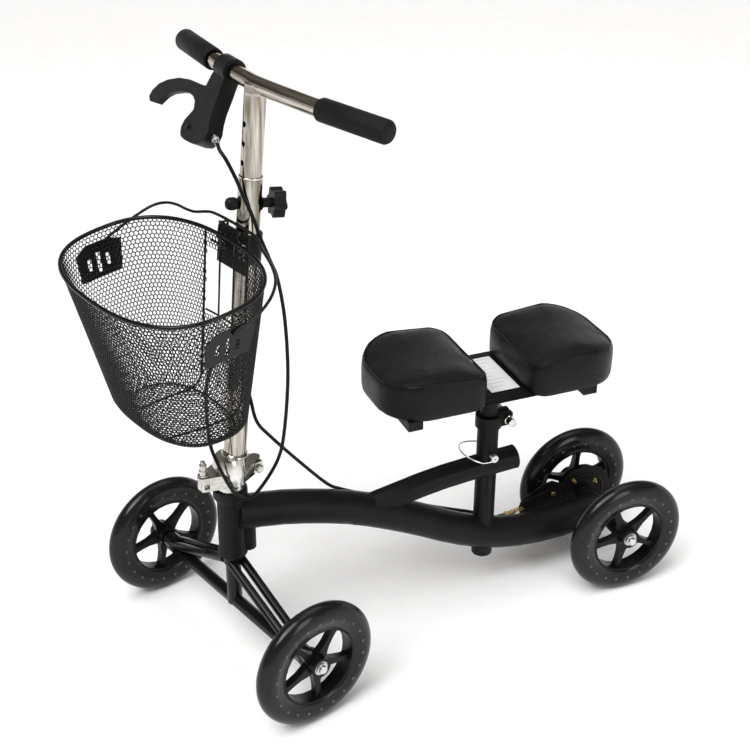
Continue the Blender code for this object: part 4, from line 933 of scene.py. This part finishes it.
FIXED = [
    (0, 0.0420, 0.3800), (0, 0.0610, 0.3510), (-0.0050, 0.1060, 0.2945), (-0.0140, 0.1500, 0.2420),
    (-0.0245, 0.1740, 0.2210), (-0.0305, 0.2050, 0.2020), (-0.0310, 0.2500, 0.1800),
    (-0.0300, 0.3000, 0.1590), (-0.0300, 0.3460, 0.1390), (-0.0320, 0.4000, 0.1160),
    (-0.0385, 0.4240, 0.0990), (-0.0405, 0.4400, 0.0905), (-0.0405, 0.4540, 0.0905),
    (-0.0405, 0.4600, 0.0905),
]


def build_cable():
    """The cable's three lengths: bar to stem, stem to truck and truck to frame."""
    turned = [STEERED @ Vector(point) for point in HANGING]
    loop = [STEERED @ Vector(point) for point in LOOP]
    fixed = [SCOOTER @ Vector(point) for point in FIXED]
    whole = smooth_path([*CABLE_START, *turned, *loop[1:], *fixed], 0.003)
    cuts = []
    for target in (turned[-1], fixed[2]):
        cuts.append(min(range(len(whole)), key=lambda k: (whole[k] - target).length))
    spans = [
        ("cable_bar_to_stem", whole[: cuts[0] + 1], "handlebar", "stem"),
        ("cable_stem_to_truck", whole[cuts[0] : cuts[1] + 1], "stem", "truck"),
        ("cable_truck_to_frame", whole[cuts[1] :], "truck", "frame"),
    ]
    for name, path, one, other in spans:
        bm = bmesh.new()
        sweep(bm, path, CABLE_RADIUS, 12)
        obj = link(name, from_bmesh(bm, name), CABLE, None, Matrix.Identity(4))
        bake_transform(obj)
        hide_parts("brake_cable")


build_cable()


# Studio

FLOOR_RINGS = ((3.0, 0.0), (12.0, 0.0), (13.5, 0.4), (14.5, 1.6), (15.0, 5.0))
FLOOR_SIDES = 64
# The sky's colours by height, between its horizon and its top
SKY = (
    (0.06, (0.80, 0.80, 0.80, 1)),
    (0.12, (0.16, 0.115, 0.075, 1)),
    (0.34, (0.10, 0.075, 0.055, 1)),
    (0.6, (0.20, 0.19, 0.18, 1)),
)


def build_stage():
    """A plain pale floor that curves up far behind the scooter."""
    floor = material("floor", (0.90, 0.90, 0.90), (0.93, 0.93, 0.93), (0.7, 0.8), grain=(40, 0.00001))
    bm = bmesh.new()
    rings = []
    turns = [tau * k / FLOOR_SIDES for k in range(FLOOR_SIDES)]
    for radius, height in FLOOR_RINGS:
        rings.append([bm.verts.new((radius * cos(turn), radius * sin(turn), height)) for turn in turns])
    bm.faces.new(rings[0])
    for near, far in zip(rings, rings[1:]):
        for k in range(FLOOR_SIDES):
            after = (k + 1) % FLOOR_SIDES
            bm.faces.new((near[k], near[after], far[after], far[k]))
    bmesh.ops.recalc_face_normals(bm, faces=bm.faces)
    mesh = bpy.data.meshes.new("sweep_floor")
    bm.to_mesh(mesh)
    bm.free()
    mesh.shade_smooth()
    mesh.materials.append(floor)
    mesh.transform(Matrix.Translation((0, 0, -0.0005)))
    obj = bpy.data.objects.new("sweep_floor", mesh)
    bpy.context.scene.collection.objects.link(obj)


def area_light(name, place, target, size, power):
    """A soft light of a size in metres, aimed at a target."""
    light = bpy.data.lights.new(name, "AREA")
    light.shape = "RECTANGLE"
    light.size, light.size_y = size
    light.energy = power
    obj = bpy.data.objects.new(name, light)
    obj.location = place
    obj.rotation_euler = (Vector(target) - Vector(place)).to_track_quat("-Z", "Y").to_euler()
    bpy.context.scene.collection.objects.link(obj)


def build_world():
    """A sky in bands from pale at the horizon to dark and grey above, which the chrome reflects."""
    world = bpy.data.worlds.new("studio")
    world.use_nodes = True
    sky = world.node_tree
    heading = node(sky, "ShaderNodeSeparateXYZ")
    sky.links.new(node(sky, "ShaderNodeTexCoord").outputs["Generated"], heading.inputs[0])
    ramp = node(sky, "ShaderNodeValToRGB")
    sky.links.new(heading.outputs["Z"], ramp.inputs["Fac"])
    stops = ramp.color_ramp
    stops.elements[0].position, stops.elements[0].color = 0.0, (0.95, 0.95, 0.95, 1)
    stops.elements[1].position, stops.elements[1].color = 1.0, (0.30, 0.29, 0.28, 1)
    for place, shade in SKY:
        stops.elements.new(place).color = shade
    sky.links.new(ramp.outputs["Color"], sky.nodes["Background"].inputs["Color"])
    sky.nodes["Background"].inputs["Strength"].default_value = 1.0
    bpy.context.scene.world = world


def build_sun():
    """A broad soft sun from above."""
    sun = bpy.data.lights.new("sun", "SUN")
    sun.energy = 2.5
    sun.angle = radians(40)
    obj = bpy.data.objects.new("sun", sun)
    obj.rotation_euler = (radians(24), radians(16), 0)
    bpy.context.scene.collection.objects.link(obj)


build_stage()
build_world()
build_sun()
AIM = (0, 0, 0.4)
area_light("key", (1.4, -2.2, 2.8), AIM, (1.4, 1.4), 34)
area_light("fill", (2.8, 1.0, 1.5), AIM, (1.0, 1.8), 26)
area_light("top", (-0.4, 0.5, 3.2), AIM, (2.4, 2.4), 24)

CAMERA_EYE, CAMERA_TARGET = (1.6827, -0.7392, 1.4285), (0.0172, -0.0336, 0.4154)
CAMERA_ROLL = radians(0.6246)


def build_camera():
    """The camera, above the scooter's left front, with a slight roll."""
    eye, target = Vector(CAMERA_EYE), Vector(CAMERA_TARGET)
    forward = (target - eye).normalized()
    right = forward.cross(Vector((0, 0, 1))).normalized()
    up = right.cross(forward)
    turn = cos(CAMERA_ROLL), sin(CAMERA_ROLL)
    right, up = right * turn[0] + up * turn[1], up * turn[0] - right * turn[1]
    camera = bpy.data.cameras.new("camera")
    camera.lens = 71.0
    camera.sensor_width = 36.0
    camera.clip_start = 0.05
    camera.clip_end = 60
    obj = bpy.data.objects.new("camera", camera)
    basis = Matrix((right, up, -forward)).transposed().to_4x4()
    obj.matrix_world = Matrix.Translation(eye) @ basis
    bpy.context.scene.collection.objects.link(obj)
    bpy.context.scene.camera = obj


build_camera()
bpy.context.scene.view_settings.view_transform = "Standard"
